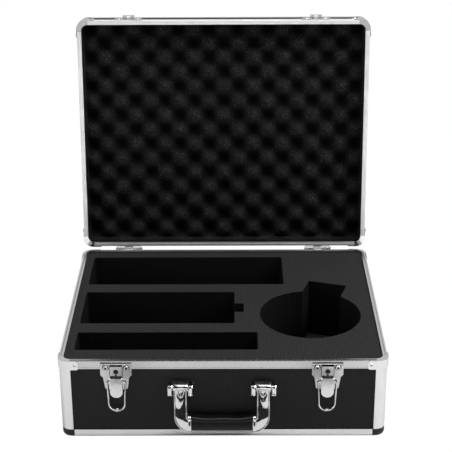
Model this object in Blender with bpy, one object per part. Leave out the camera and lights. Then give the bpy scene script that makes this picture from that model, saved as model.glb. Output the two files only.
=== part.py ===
"""Aluminium framed flight case: foam lined, hinged lid, two draw latches and a bail handle.

Metres, +Z up. The front faces -Y. The case is modelled about its own centre, standing on z = 0 with the
lid shut. Then the lid swings open about its hinge pins and all of it moves back, so that the origin lies
halfway along the front edge rail, on its underside.
"""
import math
from collections import namedtuple

import bmesh
import bpy
from mathutils import Matrix, Vector

# Case body
CASE_WIDTH = 0.460
CASE_DEPTH = 0.370
BASE_HEIGHT = 0.124
LID_HEIGHT = 0.045
RIM_GAP = 0.0004
LID_OPEN_ANGLE = math.radians(97)
CLEARANCE = 0.0003
OVERRUN = 0.002
FITTINGS_CENTER = -0.0018

# Laminated boards and the aluminium rails that hold their edges
BOARD_THICKNESS = 0.004
RAIL_SKIN = 0.001
RAIL_WEB = 0.0013
CORNER_RADIUS = 0.014
EDGE_RADIUS = 0.006
EDGE_RAIL_HEIGHT = 0.013
EDGE_RAIL_WIDTH = 0.018
EDGE_RAIL_SHELF = 0.014
POST_WIDTH = 0.017
POST_SLOT_DEPTH = 0.0034
RIM_RAIL_HEIGHT = 0.0123
RIM_INNER_HEIGHT = 0.010
RIM_TOP_WALL = 0.003
RIM_CHAMFER = 0.0005
RIM_FIELD_DEPTH = 0.0003
RIM_TOP_BEAD = 0.0012
RIM_BOTTOM_BEAD = 0.0018
GROOVE_OFFSET = 0.0026
GROOVE_WIDTH = 0.0016
GROOVE_DEPTH = 0.0014
TONGUE_HEIGHT = 0.0012

# Corner fittings
SHOE_SIZE = 0.018
SHOE_WALL = 0.001
BRACE_PLATE = 0.0015
BRACE_SHEET = 0.001
BRACE_SIZE = 0.0165
BRACE_EAR_LENGTH = 0.0283
BRACE_EAR_RADIUS = 0.003
BRACE_SKIRT_HEIGHT = 0.0135
BRACE_RIVET_INSET = 0.0045
BRACE_RIVET_DROP = 0.0062
BRACE_RIVET_SHARE = 0.58

# Rivets
RIVET_RADIUS = 0.0026
RIVET_RISE = 0.0012
EYELET_RADIUS = 0.0042
EYELET_BORE = 0.0016
EYELET_RISE = 0.0016

# Foam
FOAM_CLEARANCE = 0.0004
FOAM_DROP = 0.0025
FOAM_CORNER_RADIUS = 0.004
INSERT_SHARE = 0.742
POCKET_RADIUS = 0.003
CRATE_PITCH = 0.0473
CRATE_PEAK_DROP = 0.0145
CRATE_WAVE = 0.0155
CRATE_WALL = 0.0022
CRATE_WALL_DROP = 0.0015
CRATE_WALL_FOOT = 0.001

# Foam pockets as shares of the case: left, front, width and depth
LONG_POCKET_SHARES = (0.0413, 0.6649, 0.6609, 0.2676)
MIDDLE_POCKET_SHARES = (0.0413, 0.3162, 0.4946, 0.2757)
SMALL_POCKET_SHARES = (0.0413, 0.1000, 0.5663, 0.1405)
NOTCH_SHARES = (0.0300, 0.0751)
NOTCH_FRONT_SHARE = 0.0959
ROUND_POCKET_SHARES = (0.7804, 0.3932)
ROUND_RADIUS_SHARE = 0.2027
ROUND_NOTCH_WIDTH_SHARE = 0.1622
ROUND_NOTCH_REACH_SHARE = 0.2919
ROUND_NOTCH_TURN = math.radians(-17.5)

# Draw latch plate
LATCH_OFFSET_SHARE = 0.3204
LATCH_TOP_DROP = 0.003
LATCH_SHEET = 0.0012
LATCH_HALF_WIDTH = 0.0218
LATCH_STRAIGHT = 0.0185
LATCH_SHOULDER = 0.0035
LATCH_FOOT_HALF_WIDTH = 0.0158
LATCH_FOOT_CHAMFER = 0.0022
LATCH_HEIGHT = 0.041
LATCH_LIP_RISE = 0.0024
LATCH_LIP_HEIGHT = 0.0026
EYELET_SPREAD = 0.0145
EYELET_DROP = 0.0072
LOCK_HALF_WIDTH = 0.0084
LOCK_TOP_DROP = 0.0031
LOCK_BOTTOM_DROP = 0.0184
LOCK_RISE = 0.0042
LOCK_BEVEL = 0.0009
LOCK_FLOOR = 0.0011
KEY_DROP = 0.0117
KEY_RADIUS = 0.0038
KEY_SLOT_WIDTH = 0.0022
KEY_SLOT_REACH = 0.0066
BARREL_TOP = 0.0032
KEYWAY_WIDTH = 0.0012
KEYWAY_DEPTH = 0.0012

# Latch lever, its pivot pin and the wire bail
PIVOT_OUT = 0.0044
PIVOT_DROP = 0.0238
PIVOT_PIN_RADIUS = 0.0009
PIVOT_BORE_RADIUS = 0.0012
PIVOT_EAR_RADIUS = 0.0019
PIVOT_EAR_THICKNESS = 0.0018
LEVER_HALF_WIDTH = 0.00885
LEVER_SHEET = 0.0015
LEVER_BACK = 0.0065
LEVER_RISE = 0.0028
LEVER_TOP_TAPER = 0.0012
LEVER_LENGTH = 0.0300
LEVER_FLANGE_RADIUS = 0.0024
LEVER_FLANGE_INNER = 0.0019
LEVER_FLANGE_REACH = 0.0145
BAIL_OUT = 0.0041
BAIL_DROP = 0.0046
BAIL_WIRE_RADIUS = 0.00135
BAIL_BORE_RADIUS = 0.0016
BAIL_END = 0.0066
BAIL_HALF_WIDTH = 0.0126
BAIL_FOOT_HALF_WIDTH = 0.0113
BAIL_FOOT_HEIGHT = 0.0118
BAIL_BEND = 0.0015
BAIL_LENGTH = 0.0456
BAIL_KNOB = (0.0022, 0.0014, 0.0026)

# Keeper on the lid
KEEPER_HALF_WIDTH = 0.0213
KEEPER_RISE = 0.0020
KEEPER_HEIGHT = 0.0145
KEEPER_HOOK_HALF_WIDTH = 0.009
KEEPER_HOOK_OUT = 0.0068
KEEPER_LIP = 0.0011
KEEPER_LIP_HEIGHT = 0.0020

# Handle
BRACKET_HALF_WIDTH = 0.0181
BRACKET_SHEET = 0.002
LUG_WIDTH = 0.0074
LUG_OUT = 0.0130
LUG_HEIGHT = 0.0163
LUG_RADIUS = 0.001
LUG_BEVELS = ((0.0, 0.0), (0.0, 0.0032), (0.0006, 0.0012), (0.0018, 0.0))
ROOF_HALF_WIDTH = 0.0102
ROOF_FLARE = 0.0016
ROOF_LOW_OUT = 0.0082
ROOF_TOP_OUT = 0.0066
ROOF_HEIGHT = 0.0030
HANDLE_PIVOT_DROP = 0.0375
HANDLE_PIVOT_OUT = 0.0080
HANDLE_PIVOT_BELOW_LUG_TOP = 0.0038
HANDLE_PIN_RADIUS = 0.0022
HANDLE_BORE_RADIUS = 0.0025
HANDLE_BARREL_RADIUS = 0.0053
HANDLE_BARREL_HALF_LENGTH = 0.0103
BOW_HALF_WIDTH = 0.0671
BOW_ARM_WIDTH = 0.0182
BOW_BACK = 0.0050
BOW_THICKNESS = 0.0060
BOW_FOOT_HEIGHT = 0.0137
BOW_CORNER_RADIUS = 0.026
BOW_INNER_RADIUS = 0.004
BOW_BAR_HEIGHT = 0.0220
BOW_EDGES = ((0.0008, 0.0), (0.0, 0.0008), (0.0, 0.0047), (0.0004, 0.0056), (0.0012, 0.0060))
BOW_DISH = ((0.0016, -0.0020), (0.0016, 0.0), (0.0019, 0.0010), (0.0030, 0.0019), (0.0050, 0.0026), (0.0075, 0.0029))
COLLAR_THICKNESS = 0.0046
COLLAR_SHOULDER = 0.0008
COLLAR_MARGIN = 0.0013
GRIP_STRIP = 0.0053
GRIP_HEIGHT = 0.0238
GRIP_WAIST = 0.0030
GRIP_BACK = 0.0008
GRIP_THICKNESS = 0.0165

# Hinges
HINGE_OFFSET_SHARE = 0.3365
HINGE_HALF_WIDTH = 0.0204
HINGE_SHEET = 0.0012
HINGE_AXIS_OUT = 0.0042
HINGE_LEAF_START = 0.0034
HINGE_LEAF_END = 0.024
HINGE_BARREL_RADIUS = 0.0027
HINGE_BORE_RADIUS = 0.0015
HINGE_PIN_RADIUS = 0.0012
HINGE_PIN_HEAD_RADIUS = 0.0022
HINGE_PIN_HEAD = 0.001
HINGE_MIDDLE_HALF = 0.0067
HINGE_WEB_OUT = 0.0026
HINGE_WEB_HEIGHT = 0.0022
HINGE_RIVET_SPREAD = 0.0135
HINGE_RIVET_NEAR = 0.0085
HINGE_RIVET_FAR = 0.0190

# Places that follow from the sizes above
LID_TOP = BASE_HEIGHT + RIM_GAP + LID_HEIGHT
HALF_WIDTH = CASE_WIDTH / 2
HALF_DEPTH = CASE_DEPTH / 2
BOARD_INSET = RAIL_SKIN + CLEARANCE
SLOT_INNER = BOARD_INSET + BOARD_THICKNESS + CLEARANCE
RAIL_DEPTH = SLOT_INNER + RAIL_SKIN
WEB_END = RAIL_DEPTH + RAIL_WEB
POST_SLOT_END = POST_WIDTH - POST_SLOT_DEPTH
HINGE_AXIS = Vector((0, HALF_DEPTH + HINGE_AXIS_OUT, BASE_HEIGHT + RIM_GAP / 2))
LATCH_TOP = BASE_HEIGHT - LATCH_TOP_DROP
PIVOT_HEIGHT = LATCH_TOP - PIVOT_DROP
BAIL_HEIGHT = PIVOT_HEIGHT - BAIL_DROP
HANDLE_PIVOT_HEIGHT = BASE_HEIGHT - HANDLE_PIVOT_DROP
BRACKET_OFFSET = BOW_HALF_WIDTH - BOW_ARM_WIDTH / 2
GRIP_HALF_LENGTH = BOW_HALF_WIDTH - BOW_ARM_WIDTH - COLLAR_THICKNESS - COLLAR_MARGIN

Half = namedtuple("Half", "name height flipped")
BASE = Half("base", BASE_HEIGHT, False)
LID = Half("lid", LID_HEIGHT, True)
CORNERS = {"front_left": (-1, -1), "front_right": (1, -1), "back_right": (1, 1), "back_left": (-1, 1)}
SIDES = ("front", "back", "left", "right")
MATERIALS = {
    "aluminium": ((0.78, 0.78, 0.78), 0.35, 1.0),
    "chrome": ((0.88, 0.88, 0.88), 0.08, 1.0),
    "laminate": ((0.03, 0.03, 0.03), 0.45, 0.0),
    "black_plastic": ((0.035, 0.035, 0.035), 0.4, 0.0),
    "insert_foam": ((0.045, 0.045, 0.045), 0.95, 0.0),
    "crate_foam": ((0.02, 0.02, 0.02), 0.95, 0.0),
    "grip_rubber": ((0.02, 0.02, 0.02), 0.5, 0.0),
    "lock_metal": ((0.10, 0.10, 0.10), 0.3, 1.0),
}


# Building blocks

def material(name):
    """The part's material of that name, made on first use."""
    found = bpy.data.materials.get(name)
    if found:
        return found
    color, roughness, metallic = MATERIALS[name]
    made = bpy.data.materials.new(name)
    made.use_nodes = True
    shader = made.node_tree.nodes["Principled BSDF"]
    shader.inputs["Base Color"].default_value = (*color, 1)
    shader.inputs["Roughness"].default_value = roughness
    shader.inputs["Metallic"].default_value = metallic
    return made


def make_object(name, shape, finish):
    """Close a bmesh into a named object with outward faces."""
    bmesh.ops.recalc_face_normals(shape, faces=shape.faces)
    bmesh.ops.triangulate(shape, faces=[face for face in shape.faces if len(face.verts) > 4])
    mesh = bpy.data.meshes.new(name)
    shape.to_mesh(mesh)
    shape.free()
    piece = bpy.data.objects.new(name, mesh)
    bpy.context.collection.objects.link(piece)
    mesh.materials.append(material(finish))
    return piece


def loft(name, sections, finish, closed=False):
    """Skin equal point loops in order; a closed loft joins its last section to its first."""
    shape = bmesh.new()
    rings = [[shape.verts.new(point) for point in section] for section in sections]
    pairs = list(zip(rings, rings[1:]))
    if closed:
        pairs.append((rings[-1], rings[0]))
    for near, far in pairs:
        for index, vertex in enumerate(near):
            after = (index + 1) % len(near)
            shape.faces.new((vertex, near[after], far[after], far[index]))
    if not closed:
        shape.faces.new(rings[0])
        shape.faces.new(rings[-1])
    return make_object(name, shape, finish)


def prism(name, outline, start, end, place, finish="aluminium"):
    """Extrude an outline of (u, v) points from start to end; place turns (u, v, w) into a point."""
    sections = [[place(u, v, w) for u, v in outline] for w in (start, end)]
    return loft(name, sections, finish)


def combine(piece, tool, operation):
    """Apply a Boolean with the tool and remove the tool."""
    change = piece.modifiers.new("change", "BOOLEAN")
    change.operation = operation
    change.solver = "EXACT"
    change.object = tool
    graph = bpy.context.evaluated_depsgraph_get()
    changed = bpy.data.meshes.new_from_object(piece.evaluated_get(graph))
    piece.modifiers.remove(change)
    piece.data = changed
    bpy.data.objects.remove(tool)
    return piece


def cut(piece, tool):
    return combine(piece, tool, "DIFFERENCE")


def fuse(piece, tool):
    return combine(piece, tool, "UNION")


def arc(center, radius, start, end, steps, squash=1):
    """Points on an arc in degrees, both ends included; squash scales its second axis."""
    points = []
    for step in range(steps + 1):
        angle = math.radians(start + (end - start) * step / steps)
        points.append((center[0] + radius * math.cos(angle), center[1] + radius * squash * math.sin(angle)))
    return points


def rectangle(low, high):
    return [low, (high[0], low[1]), high, (low[0], high[1])]


def rounded_rectangle(low, high, radius, steps=3):
    points = arc((high[0] - radius, high[1] - radius), radius, 0, 90, steps)
    points += arc((low[0] + radius, high[1] - radius), radius, 90, 180, steps)
    points += arc((low[0] + radius, low[1] + radius), radius, 180, 270, steps)
    points += arc((high[0] - radius, low[1] + radius), radius, 270, 360, steps)
    return points


def mirrored(points):
    """An outline from its right half: the same points with x negated close the left."""
    return points + [(-x, z) for x, z in reversed(points)]


def in_half(half, x, y, height):
    """A point at a height from the outer face of a half; the lid is measured from its top."""
    return (x, y, LID_TOP - height) if half.flipped else (x, y, height)


def at_corner(half, corner):
    """Place (p, q, height), where p and q run inward from the two outer faces at a corner."""
    side_x, side_y = CORNERS[corner]

    def place(p, q, height):
        return in_half(half, side_x * (HALF_WIDTH - p), side_y * (HALF_DEPTH - q), height)
    return place


def on_side(side, inward, along):
    """The plan point at a distance in from one outer side and along it."""
    if side == "front":
        return along, inward - HALF_DEPTH
    if side == "back":
        return along, HALF_DEPTH - inward
    if side == "left":
        return inward - HALF_WIDTH, along
    return HALF_WIDTH - inward, along


def side_half_length(side):
    return HALF_WIDTH if side in ("front", "back") else HALF_DEPTH


def front_place(center):
    """Place (x, z, out) on the front face, with x from a centre line."""
    return lambda x, z, out: (center + x, -HALF_DEPTH - out, z)


def front_side_place(center):
    """Place (out, z, x) on the front face, for profiles seen from the side."""
    return lambda out, z, x: (center + x, -HALF_DEPTH - out, z)


def back_side_place(center):
    """Place (out, z, x) on the back face, for profiles seen from the side."""
    return lambda out, z, x: (center + x, HALF_DEPTH + out, z)


def rod(name, place, center, radius, start, end, finish="chrome", steps=16):
    """A round bar along the third axis of a place function."""
    return prism(name, arc(center, radius, 0, 360 - 360 / steps, steps - 1), start, end, place, finish)


def rivet(piece, place, center, base, radius=RIVET_RADIUS, rise=RIVET_RISE):
    """Fuse a domed rivet head onto a piece, rooted half its rise into the sheet."""
    sides = 12
    heights_and_radii = [(base - CLEARANCE, radius), (base, radius)]
    heights_and_radii += [(base + rise / 2, radius * 0.85), (base + rise, radius * 0.4)]
    sections = []
    for height, ring_radius in heights_and_radii:
        ring = arc(center, ring_radius, 0, 360 - 360 / sides, sides - 1)
        sections.append([place(u, v, height) for u, v in ring])
    fuse(piece, loft("rivet", sections, "chrome"))


def eyelet(piece, place, center, base, share=1.0):
    """Fuse a rolled tubular rivet with an open centre onto a sheet."""
    sides = 12
    rise = EYELET_RISE * share
    outer, bore = EYELET_RADIUS * share, EYELET_BORE * share
    profile = [(outer, base - CLEARANCE), (outer, base + rise * 0.4)]
    profile += [(outer - rise * 0.4, base + rise), (bore + rise * 0.3, base + rise)]
    profile += [(bore, base + rise * 0.4)]
    sections = []
    for radius, height in profile:
        ring = arc(center, radius, 0, 360 - 360 / sides, sides - 1)
        sections.append([place(u, v, height) for u, v in ring])
    fuse(piece, loft("eyelet", sections, "chrome"))


def pivot_at(name, location, angle=0.0):
    """An empty on a joint's axis; what hangs on it is modelled before it turns."""
    empty = bpy.data.objects.new(name, None)
    empty.location = location
    empty.rotation_euler.x = angle
    bpy.context.collection.objects.link(empty)
    return empty


def hang_on(piece, pivot):
    piece.parent = pivot
    piece.matrix_parent_inverse = Matrix.Translation(-pivot.location)


# Rails, boards and corner fittings, alike on the base and the lid

def corner_solid(half, corner, inset, size, top):
    """A case corner with its upright and bottom edges rounded, drawn in by an inset."""
    place = at_corner(half, corner)
    edge_radius = EDGE_RADIUS - inset
    steps = 4
    levels = []
    for step in range(steps + 1):
        angle = math.pi / 2 * step / steps
        levels.append((EDGE_RADIUS - edge_radius * math.sin(angle), EDGE_RADIUS - edge_radius * math.cos(angle)))
    levels.append((inset, top))
    sections = []
    for draw, height in levels:
        outline = [(size, size), (size, draw)]
        outline += arc((CORNER_RADIUS, CORNER_RADIUS), CORNER_RADIUS - draw, 270, 180, 5)
        outline += [(draw, size)]
        sections.append([place(p, q, height) for p, q in outline])
    return loft("corner_solid", sections, "black_plastic")


def corner_shoe(half, corner, word):
    """A moulded cap over the outer corner, open inside where it sits on the edge rails."""
    shoe = corner_solid(half, corner, 0, SHOE_SIZE, EDGE_RAIL_HEIGHT)
    shoe.name = f"{half.name}_{word}_{corner}"
    inner = corner_solid(half, corner, SHOE_WALL, SHOE_SIZE + OVERRUN, EDGE_RAIL_HEIGHT + OVERRUN)
    return cut(shoe, inner)


def shoe_seat_cutter(half, corner):
    """What is taken off the edge rails so that a shoe lies flush with them."""
    size = SHOE_SIZE + CLEARANCE
    outline = rectangle((-OVERRUN, -OVERRUN), (size, size))
    top = EDGE_RAIL_HEIGHT + CLEARANCE
    block = prism("seat", outline, -OVERRUN, top, at_corner(half, corner))
    core = corner_solid(half, corner, SHOE_WALL + CLEARANCE, size + OVERRUN, top + OVERRUN)
    return cut(block, core)


def edge_frame(half):
    """Mitred edge rails round the outer board, as one welded frame."""
    profile = [(0, EDGE_RAIL_HEIGHT)]
    profile += arc((EDGE_RADIUS, EDGE_RADIUS), EDGE_RADIUS, 180, 270, 4)
    profile += [(EDGE_RAIL_WIDTH, 0), (EDGE_RAIL_WIDTH, RAIL_SKIN), (WEB_END, RAIL_SKIN)]
    profile += [(WEB_END, SLOT_INNER), (EDGE_RAIL_SHELF, SLOT_INNER), (EDGE_RAIL_SHELF, RAIL_DEPTH)]
    profile += [(RAIL_DEPTH, RAIL_DEPTH), (RAIL_DEPTH, EDGE_RAIL_HEIGHT), (SLOT_INNER, EDGE_RAIL_HEIGHT)]
    profile += [(SLOT_INNER, RAIL_DEPTH), (RAIL_SKIN, RAIL_DEPTH), (RAIL_SKIN, EDGE_RAIL_HEIGHT)]
    sections = []
    for corner in CORNERS:
        place = at_corner(half, corner)
        sections.append([place(inward, inward, height) for inward, height in profile])
    return loft(f"{half.name}_edge_frame", sections, "aluminium", closed=True)


def post(half, corner, start, end):
    """An upright corner rail with a slot for each of the two boards that meet there."""
    outline = [(POST_WIDTH, 0)]
    outline += arc((CORNER_RADIUS, CORNER_RADIUS), CORNER_RADIUS, 270, 180, 6)
    outline += [(0, POST_WIDTH), (RAIL_SKIN, POST_WIDTH), (RAIL_SKIN, POST_SLOT_END)]
    outline += [(SLOT_INNER, POST_SLOT_END), (SLOT_INNER, POST_WIDTH), (RAIL_DEPTH, POST_WIDTH)]
    outline += [(RAIL_DEPTH, RAIL_DEPTH), (POST_WIDTH, RAIL_DEPTH), (POST_WIDTH, SLOT_INNER)]
    outline += [(POST_SLOT_END, SLOT_INNER), (POST_SLOT_END, RAIL_SKIN), (POST_WIDTH, RAIL_SKIN)]
    return prism(f"{half.name}_post_{corner}", outline, start, end, at_corner(half, corner))


def rim_profile(half):
    """The rim rail's section: a slot for the board, and a groove or tongue along its top."""
    top = half.height
    groove_end = GROOVE_OFFSET + GROOVE_WIDTH
    foot = top - RIM_RAIL_HEIGHT
    profile = [(RIM_CHAMFER, top), (0, top - RIM_CHAMFER), (0, top - RIM_TOP_BEAD)]
    profile += [(RIM_FIELD_DEPTH, top - RIM_TOP_BEAD - RIM_FIELD_DEPTH)]
    profile += [(RIM_FIELD_DEPTH, foot + RIM_BOTTOM_BEAD + RIM_FIELD_DEPTH)]
    profile += [(0, foot + RIM_BOTTOM_BEAD), (0, foot)]
    profile += [(RAIL_SKIN, foot), (RAIL_SKIN, top - RIM_TOP_WALL)]
    profile += [(SLOT_INNER, top - RIM_TOP_WALL), (SLOT_INNER, top - RIM_INNER_HEIGHT)]
    profile += [(RAIL_DEPTH, top - RIM_INNER_HEIGHT), (RAIL_DEPTH, top)]
    if half.flipped:
        near, far, level = GROOVE_OFFSET + CLEARANCE, groove_end - CLEARANCE, top + TONGUE_HEIGHT
    else:
        near, far, level = GROOVE_OFFSET, groove_end, top - GROOVE_DEPTH
    return profile + [(far, top), (far, level), (near, level), (near, top)]


def rim_rail(side):
    """One mitred length of the base's rim rail."""
    sections = []
    for end in (-1, 1):
        section = []
        for inward, height in rim_profile(BASE):
            along = end * (side_half_length(side) - inward - CLEARANCE)
            x, y = on_side(side, inward, along)
            section.append(in_half(BASE, x, y, height))
        sections.append(section)
    return loft(f"base_rim_rail_{side}", sections, "aluminium")


def rim_frame(half):
    """All four mitred lengths of the lid's rim rail, joined."""
    sections = []
    for corner in CORNERS:
        place = at_corner(half, corner)
        sections.append([place(inward, inward, height) for inward, height in rim_profile(half)])
    return loft(f"{half.name}_rim_frame", sections, "aluminium", closed=True)


def seat_brace(rail, half, corner):
    """Round a rim rail's upright corner and lower its top for the corner brace."""
    place = at_corner(half, corner)
    size = BRACE_SIZE + CLEARANCE
    plate_seat = prism("seat", rectangle((-OVERRUN, -OVERRUN), (size, size)),
                       half.height - BRACE_PLATE - CLEARANCE, half.height + OVERRUN, place)
    cut(rail, plate_seat)
    outline = [(-OVERRUN, -OVERRUN), (CORNER_RADIUS, -OVERRUN)]
    outline += arc((CORNER_RADIUS, CORNER_RADIUS), CORNER_RADIUS, 270, 180, 6)
    outline += [(-OVERRUN, CORNER_RADIUS)]
    bottom = half.height - RIM_RAIL_HEIGHT - OVERRUN
    return cut(rail, prism("round", outline, bottom, half.height + OVERRUN, place))


def rim_brace(half, corner):
    """A pressed corner brace: a top plate, and a skirt whose two ears are riveted to the rails."""
    place = at_corner(half, corner)
    near, far = CLEARANCE, CLEARANCE + BRACE_SHEET
    center = (CORNER_RADIUS, CORNER_RADIUS)
    outline = [(BRACE_SIZE, -far)]
    outline += arc(center, CORNER_RADIUS + far, 270, 180, 6)
    outline += [(-far, BRACE_SIZE)]
    outline += arc((BRACE_SIZE, BRACE_SIZE), BRACE_SIZE - RAIL_DEPTH, 180, 270, 5)
    brace = prism(f"{half.name}_rim_corner_{corner}", outline, half.height - BRACE_PLATE, half.height,
                  place, "chrome")
    outline = [(BRACE_EAR_LENGTH, -near)]
    outline += arc(center, CORNER_RADIUS + near, 270, 180, 6)
    outline += [(-near, BRACE_EAR_LENGTH), (-far, BRACE_EAR_LENGTH)]
    outline += arc(center, CORNER_RADIUS + far, 180, 270, 6)
    outline += [(BRACE_EAR_LENGTH, -far)]
    skirt_bottom = half.height - BRACE_SKIRT_HEIGHT
    fuse(brace, prism("skirt", outline, skirt_bottom, half.height, place))
    round_ear(brace, lambda along, height, out: place(along, -out, height), half.height, skirt_bottom)
    round_ear(brace, lambda along, height, out: place(-out, along, height), half.height, skirt_bottom)
    rivet_along = BRACE_EAR_LENGTH - BRACE_RIVET_INSET
    rivet_height = half.height - BRACE_RIVET_DROP
    center = (rivet_along, rivet_height)
    eyelet(brace, lambda u, v, out: place(u, -out, v), center, far, BRACE_RIVET_SHARE)
    eyelet(brace, lambda u, v, out: place(-out, u, v), center, far, BRACE_RIVET_SHARE)
    return brace


def round_ear(brace, place, top, bottom):
    """Trim the two outer corners of one ear to a radius."""
    radius = BRACE_EAR_RADIUS
    end = BRACE_EAR_LENGTH
    for height, toward in ((top, -1), (bottom, 1)):
        start_angle, end_angle = (90, 0) if toward < 0 else (270, 360)
        outline = arc((end - radius, height + toward * radius), radius, start_angle, end_angle, 4)
        outline += [(end + OVERRUN, height + toward * radius), (end + OVERRUN, height - toward * OVERRUN)]
        outline += [(end - radius, height - toward * OVERRUN)]
        cut(brace, prism("trim", outline, -OVERRUN, CLEARANCE + BRACE_SHEET + OVERRUN, place))


def side_board(half, side):
    """A laminated board whose edges lie in the slots of the rails round it."""
    reach = side_half_length(side) - POST_SLOT_END - CLEARANCE
    low = RAIL_DEPTH + CLEARANCE
    high = half.height - RIM_TOP_WALL - CLEARANCE

    def place(along, height, inward):
        x, y = on_side(side, inward, along)
        return in_half(half, x, y, height)
    outline = rectangle((-reach, low), (reach, high))
    name = f"{half.name}_board_{side}"
    return prism(name, outline, BOARD_INSET, BOARD_INSET + BOARD_THICKNESS, place, "laminate")


def outer_board(half, word):
    """The board that closes the bottom of the base or the top of the lid."""
    inset = WEB_END + CLEARANCE
    high = (HALF_WIDTH - inset, HALF_DEPTH - inset)
    low = (-high[0], -high[1])
    place = lambda x, y, height: in_half(half, x, y, height)
    return prism(f"{half.name}_board_{word}", rectangle(low, high), BOARD_INSET,
                 BOARD_INSET + BOARD_THICKNESS, place, "laminate")


def build_half(half, shoe_word, board_word):
    """Everything that makes the shell of the base or of the lid."""
    pieces = [outer_board(half, board_word)]
    pieces += [side_board(half, side) for side in SIDES]
    frame = edge_frame(half)
    rim_low = half.height - RIM_RAIL_HEIGHT - CLEARANCE
    for corner in CORNERS:
        if half.flipped:
            fuse(frame, post(half, corner, RAIL_DEPTH - RAIL_SKIN / 2, rim_low))
        else:
            pieces.append(post(half, corner, EDGE_RAIL_HEIGHT + CLEARANCE, rim_low))
        cut(frame, shoe_seat_cutter(half, corner))
        pieces.append(corner_shoe(half, corner, shoe_word))
        pieces.append(rim_brace(half, corner))
    pieces.append(frame)
    if half.flipped:
        rails = [rim_frame(half)]
    else:
        rails = [rim_rail(side) for side in SIDES]
    for rail in rails:
        for corner in CORNERS:
            if half.flipped or any(word in corner for word in [rail.name.split("_")[-1]]):
                seat_brace(rail, half, corner)
    return pieces + rails


# Foam

def pocket_corners(shares):
    """Low and high corners of a pocket from its shares of the case's width and depth."""
    left, front, width, depth = shares
    low = (left * CASE_WIDTH - HALF_WIDTH, front * CASE_DEPTH - HALF_DEPTH)
    return low, (low[0] + width * CASE_WIDTH, low[1] + depth * CASE_DEPTH)


def build_base_foam():
    """A firm foam insert with its pockets cut through, over a plain foam pad."""
    half = (HALF_WIDTH - RAIL_DEPTH - FOAM_CLEARANCE, HALF_DEPTH - RAIL_DEPTH - FOAM_CLEARANCE)
    low = (-half[0], -half[1])
    outline = rounded_rectangle(low, half, FOAM_CORNER_RADIUS)
    place = lambda x, y, z: (x, y, z)
    top = BASE_HEIGHT - FOAM_DROP
    split = top - INSERT_SHARE * BASE_HEIGHT
    insert = prism("base_foam_insert", outline, split, top, place, "insert_foam")
    under, over = split - OVERRUN, top + OVERRUN
    for shares in (LONG_POCKET_SHARES, MIDDLE_POCKET_SHARES, SMALL_POCKET_SHARES):
        shape = rounded_rectangle(*pocket_corners(shares), POCKET_RADIUS)
        cut(insert, prism("pocket", shape, under, over, place))
    middle_low, middle_high = pocket_corners(MIDDLE_POCKET_SHARES)
    notch_low = (middle_high[0] - OVERRUN, middle_low[1] + NOTCH_FRONT_SHARE * CASE_DEPTH)
    notch_high = (middle_high[0] + NOTCH_SHARES[0] * CASE_WIDTH, notch_low[1] + NOTCH_SHARES[1] * CASE_DEPTH)
    cut(insert, prism("notch", rectangle(notch_low, notch_high), under, over, place))
    center, _ = pocket_corners((*ROUND_POCKET_SHARES, 0, 0))
    cut(insert, rod("round_pocket", place, center, ROUND_RADIUS_SHARE * CASE_DEPTH, under, over, steps=48))
    turn = Matrix.Rotation(ROUND_NOTCH_TURN, 2)
    across = ROUND_NOTCH_WIDTH_SHARE * CASE_DEPTH / 2
    corners = rectangle((-across, 0), (across, ROUND_NOTCH_REACH_SHARE * CASE_DEPTH))
    turned = [turn @ Vector(point) + Vector(center) for point in corners]
    cut(insert, prism("round_notch", [tuple(point) for point in turned], under, over, place))
    pad_low = RAIL_DEPTH + CLEARANCE
    pad = prism("base_foam_pad", outline, pad_low, split - CLEARANCE, place, "insert_foam")
    return [insert, pad]


def crate_lines(half_length, phase):
    """Grid lines a quarter pitch apart, with the foam's two ends and the wall at each end."""
    step = CRATE_PITCH / 4
    wall = half_length - CRATE_WALL
    foot = wall - CRATE_WALL_FOOT
    first = math.ceil((-foot - phase) / step + 0.1)
    last = math.floor((foot - phase) / step - 0.1)
    inner = [phase + step * index for index in range(first, last + 1)]
    return [-half_length, -wall, -foot] + inner + [foot, wall, half_length]


def build_crate_foam():
    """The lid's convoluted foam: a chequer of peaks and hollows inside a thin wall."""
    half = (HALF_WIDTH - RAIL_DEPTH - FOAM_CLEARANCE, HALF_DEPTH - RAIL_DEPTH - FOAM_CLEARANCE)
    rim = LID_TOP - LID_HEIGHT
    middle = rim + CRATE_PEAK_DROP + CRATE_WAVE / 2
    back = LID_TOP - RAIL_DEPTH - CLEARANCE
    phase_x = 0.0
    phase_y = half[1] + RAIL_DEPTH - CRATE_PITCH / 2
    turns = 2 * math.pi / CRATE_PITCH

    def surface(x, y):
        if min(half[0] - abs(x), half[1] - abs(y)) < CRATE_WALL + CRATE_WALL_FOOT / 4:
            return rim + CRATE_WALL_DROP
        wave = math.cos(turns * (x - phase_x)) * math.cos(turns * (y - phase_y))
        return middle - CRATE_WAVE / 2 * wave
    columns = crate_lines(half[0], phase_x)
    rows = crate_lines(half[1], phase_y)
    shape = bmesh.new()
    grid = [[shape.verts.new((x, y, surface(x, y))) for x in columns] for y in rows]
    for near, far in zip(grid, grid[1:]):
        for column in range(len(columns) - 1):
            shape.faces.new((near[column], near[column + 1], far[column + 1]))
            shape.faces.new((near[column], far[column + 1], far[column]))
    border = grid[0][:-1] + [line[-1] for line in grid[:-1]]
    border += list(reversed(grid[-1][1:])) + [line[0] for line in reversed(grid[1:])]
    floor = [shape.verts.new((vertex.co.x, vertex.co.y, back)) for vertex in border]
    for index in range(len(border)):
        after = (index + 1) % len(border)
        shape.faces.new((border[index], border[after], floor[after], floor[index]))
    shape.faces.new(floor)
    return make_object("lid_crate_foam", shape, "crate_foam")


# Draw latches

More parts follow.
